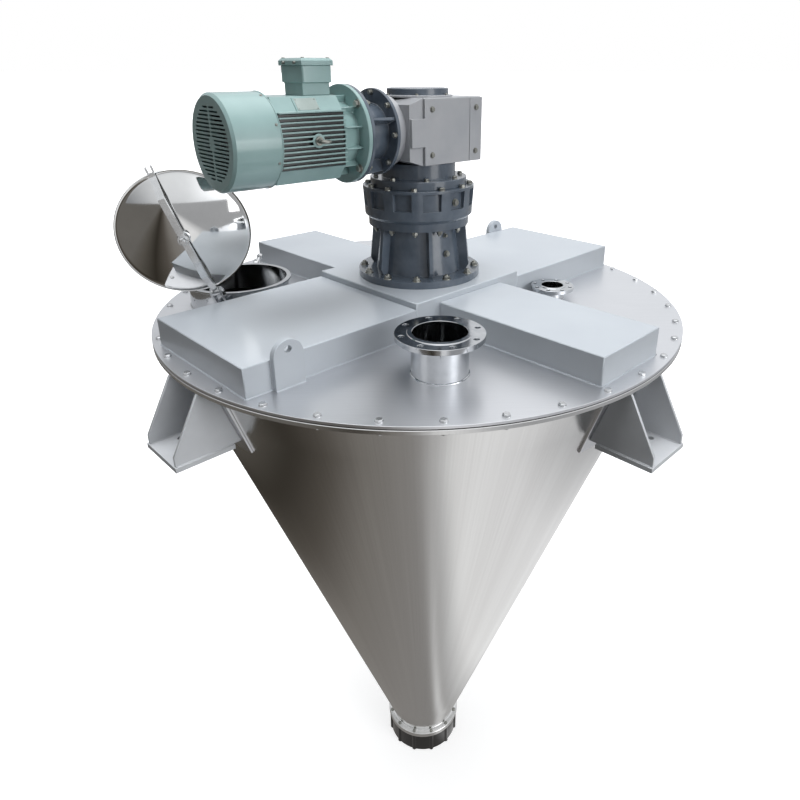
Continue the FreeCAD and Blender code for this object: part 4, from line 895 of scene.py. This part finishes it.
def finned_enamel():
    """The same enamel where the fins stand, with painted shade, a near-black colour, between them up to 5 mm below
    their tips.
    """
    shade_to, fin_tip = 151 * mm, 156 * mm
    fins_to, plain_from = 99 * mm, 103 * mm
    paint = sage_enamel.copy()
    paint.name = "sage_green_enamel_painted_fin_shade"
    tree = paint.node_tree
    place = add_node(tree, "ShaderNodeTexCoord")
    level = add_node(tree, "ShaderNodeVectorRotate",
                     {"rotation_type": "Z_AXIS", "Angle": math.radians(-drive_turn)},
                     {"Vector": place.outputs["Object"]})
    axes = add_node(tree, "ShaderNodeSeparateXYZ", None, {0: level.outputs[0]})
    sideways = add_node(tree, "ShaderNodeMath", {"operation": "ABSOLUTE"}, {0: axes.outputs["Y"]})
    height = add_node(tree, "ShaderNodeMath", {"operation": "SUBTRACT", 1: motor_level},
                      {0: axes.outputs["Z"]})
    upwards = add_node(tree, "ShaderNodeMath", {"operation": "ABSOLUTE"}, {0: height.outputs[0]})
    near_tip = add_node(tree, "ShaderNodeMapRange", {"From Min": shade_to, "From Max": fin_tip},
                        {"Value": sideways.outputs[0]})
    past_fins = add_node(tree, "ShaderNodeMapRange", {"From Min": fins_to, "From Max": plain_from},
                         {"Value": upwards.outputs[0]})
    unshaded = add_node(tree, "ShaderNodeMath", {"operation": "MAXIMUM"},
                     {0: near_tip.outputs[0], 1: past_fins.outputs[0]})
    shader = tree.nodes["Principled BSDF"]
    enamel_tone = shader.inputs["Base Color"].links[0].from_socket
    # Painted shade: between the fins the enamel is mixed towards near black, where the fins' shadow falls.
    painted_fin_shade_mix = add_node(tree, "ShaderNodeMix", {"data_type": "RGBA", 6: linear("#141B1A")},
                     {0: unshaded.outputs[0], 7: enamel_tone})
    tree.links.new(painted_fin_shade_mix.outputs[2], shader.inputs["Base Color"])
    return paint


refined("motor_drive_shield", sage_enamel, 1.6)
refined("motor_frame", finned_enamel(), 1.3)
refined("motor_rear_shield", sage_enamel, 1.5)
rib_size = Matrix.Diagonal((26 * mm, 5 * mm, 76 * mm, 1))
shield_ribs = bmesh.new()
for k in range(12):
    rib_place = along_motor @ turn(15 + 30 * k) @ shift(146 * mm, 0, (flange_face + frame_start) / 2)
    bmesh.ops.create_cube(shield_ribs, size=1.0, matrix=rib_place @ rib_size)
add_piece("shield_ribs", shield_ribs, ("motor_drive_shield",), sage_enamel, 1.6)

eye_place = drive @ shift(frame_start + 127 * mm, 0, 0) @ turn(-90, "X")
eye_radius, eye_thick, eye_sides = 19 * mm, 5.5 * mm, 12
eye_outline = []
for k in range(eye_sides):
    a = 2 * math.pi * k / eye_sides
    eye_outline.append((eye_radius + eye_thick * math.cos(a), eye_thick * math.sin(a)))
lifting_eye = lathe(eye_outline, 40)
lifting_eye.transform(eye_place @ shift(0, 0, 201 * mm) @ turn(90, "X"))
for low, high, wide, narrow in ((158, 163, 17, 16), (163, 172, 10, 8.5), (170, 178, 8, 6.5)):
    post(lifting_eye, eye_place, 28, wide * mm, narrow * mm, low * mm, (high - low) * mm)
add_piece("lifting_eye", lifting_eye, "motor_eye_bolt", zinc_bolts)

slant = math.degrees(math.atan2(48, 59))
plate_lie = drive @ shift(frame_start + 146 * mm, 118 * mm, 129 * mm) @ turn(slant - 90, "X")
# Anodised sheet, brushed along the plate: a pale matt grey without print.
bare_aluminium = brushed_steel("anodised_aluminium_plate", "#A9B4B0", "#98A39F", grain=(60, 2, 2),
                               roughness=0.34, cloud=50, depth=0.05)
rating_plate = bmesh.new()
plate_size = Matrix.Diagonal((92 * mm, 52 * mm, 3 * mm, 1))
bmesh.ops.create_cube(rating_plate, size=1.0, matrix=plate_lie @ plate_size)
for x in (-40, 40):
    for y in (-20, 20):
        bmesh.ops.create_uvsphere(rating_plate, u_segments=12, v_segments=6, radius=2.6 * mm,
                                  matrix=plate_lie @ shift(x * mm, y * mm, 1.5 * mm))
add_piece("blank_rating_plate", rating_plate, ("motor_frame",), bare_aluminium, 0.6)
plate_pad = bmesh.new()
pad_size = Matrix.Diagonal((106 * mm, 64 * mm, 8 * mm, 1))
bmesh.ops.create_cube(plate_pad, size=1.0, matrix=plate_lie @ shift(0, 0, -3.5 * mm) @ pad_size)
add_piece("rating_plate_pad", plate_pad, ("motor_frame",), sage_enamel, 1.8)


# Fan cowl and fan
# The cowl is pressed from sheet, sprayed sage green, and slotted at its end for the moulded fan
# behind it. Screws hold it to the rear shield.
cowl_start = 776 * mm
cowl_radius = 175.5 * mm
# The same green on smooth sheet: a longer, cleaner highlight than on the castings.
cowl_enamel = enamel("sage_green_sheet_enamel", "#9AB7B5", "#8FACAA", roughness=0.22, peel=8.0,
                     depth=0.05, cloud=220, coat=0.5)
refined("fan_cowl", cowl_enamel, 0.9)
rolled_edge = []
for k in range(8):
    a = 2 * math.pi * k / 8
    rolled_edge.append((cowl_radius + 2 * mm * math.cos(a), 2.5 * mm * math.sin(a)))
cowl_rim = lathe(rolled_edge)
cowl_rim.transform(along_motor @ shift(0, 0, cowl_start + 3 * mm))
add_piece("cowl_rolled_edge", cowl_rim, ("fan_cowl",), cowl_enamel)
cowl_screws = bmesh.new()
for k in range(8):
    spot = along_motor @ turn(22.5 + 45 * k) @ shift(174.5 * mm, 0, cowl_start + 16 * mm) @ outwards
    post(cowl_screws, spot, 18, 6 * mm, 4 * mm, 0.0, 4 * mm)
add_piece("cowl_screws", cowl_screws, ("fan_cowl",), zinc_bolts)
fan_polymer = rubber("black_polypropylene", "#202221")
refined("cooling_fan", fan_polymer, 1.0)


# Terminal box
# A cast box on the motor's top pad with a bevelled lid, screwed down at its corners. A blanking plug
# closes the cable entry.
refined("terminal_box", sage_enamel, 2.4)
refined("terminal_box_lid", sage_enamel, 1.6)
box_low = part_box("terminal_box")[0].z
lid_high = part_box("terminal_box_lid")[1].z
box_middle = frame_start + 68 * mm
box_screws = bmesh.new()
for x in (-54, 54):
    for y in (-70, 70):
        spot = turn(drive_turn) @ shift(box_middle + x * mm, y * mm, lid_high - 4.5 * mm)
        post(box_screws, spot, 18, 7 * mm, 5.5 * mm, 0.0, 7 * mm)
for end in (-1, 1):
    for y in (-40, 40):
        end_spot = shift(box_middle + end * 69 * mm, y * mm, lid_high - 16 * mm) @ turn(90 * end, "Y")
        post(box_screws, turn(drive_turn) @ end_spot, 16, 5.5 * mm, 5 * mm, 0.0, 8 * mm)
add_piece("terminal_box_screws", box_screws, ("terminal_box_lid",), zinc_bolts)
gland = bmesh.new()
gland_place = turn(drive_turn) @ shift(box_middle, -80 * mm, box_low + 74 * mm) @ turn(90, "X")
hex_bolt(gland, gland_place, 36 * mm, 14 * mm, washer=1.1)
post(gland, gland_place, 28, 15 * mm, 13 * mm, 14 * mm, 10 * mm)
add_piece("cable_entry_plug", gland, ("terminal_box",), fan_polymer)


# Swing head and screws
# Inside the vessel a spindle turns the hub, whose two arms carry an inclined screw each: a long one
# and a short one. The flights are pressed from plate, one turn at a time, and welded on; the arms and
# hub are ground stainless, the shafts, bearings and caps turned steel.
turned_steel = brushed_steel("turned_steel", "#AEAFB0", "#8F9092", grain=(2, 2, 2), roughness=0.30,
                             cloud=60, depth=0.06)
ground_steel = brushed_steel("ground_stainless", "#BDBEBF", "#A3A4A6", grain=(6, 6, 120), roughness=0.30,
                             cloud=160, depth=0.10)
for node in ("spindle_bearings", "swing_spindle", "screw_bearings", "motor_shaft", "motor_rotor",
             "stator_core", "motor_bearings"):
    finish(node, turned_steel)
refined("spindle_housing", turned_steel, 1.5)
refined("swing_hub", ground_steel, 2.0)
refined("long_screw_arm", ground_steel, 1.5)
refined("short_screw_arm", ground_steel, 1.5)
refined("sleeve_caps", turned_steel, 1.0)
refined("long_screw_shaft", turned_steel, 1.5)
refined("short_screw_shaft", turned_steel, 1.5)
arm_turn = 70
shaft_radius = 38 * mm
flight_radius = 150 * mm
flight_plate = 8 * mm
flight_pitch = 290 * mm
flight_start = -180 * mm
flight_steps = 40
for name, turns, azimuth in (("long_screw", 8, arm_turn), ("short_screw", 4, arm_turn + 180)):
    joint = next(one for one in frame["joints"] if one["name"] == name + "_spin")
    pivot = Vector(joint["pos_m"])
    screw_place = turn(azimuth) @ shift(math.hypot(pivot.x, pivot.y), 0, pivot.z) @ turn(half_angle, "Y")
    bm = bmesh.new()
    section = [bm.verts.new((r, 0, flight_start - drop)) for r, drop in (
        (shaft_radius, 0), (flight_radius, 0), (flight_radius, flight_plate), (shaft_radius, flight_plate))]
    face = bm.faces.new(section)
    bmesh.ops.spin(bm, geom=[face], cent=(0, 0, 0), axis=(0, 0, 1), angle=2 * math.pi * turns,
                   dvec=(0, 0, -flight_pitch / flight_steps), steps=flight_steps * turns)
    bmesh.ops.remove_doubles(bm, verts=bm.verts, dist=0.01 * mm)
    bm.transform(screw_place)
    add_piece(name + "_helix", bm, name + "_flights", ground_steel)
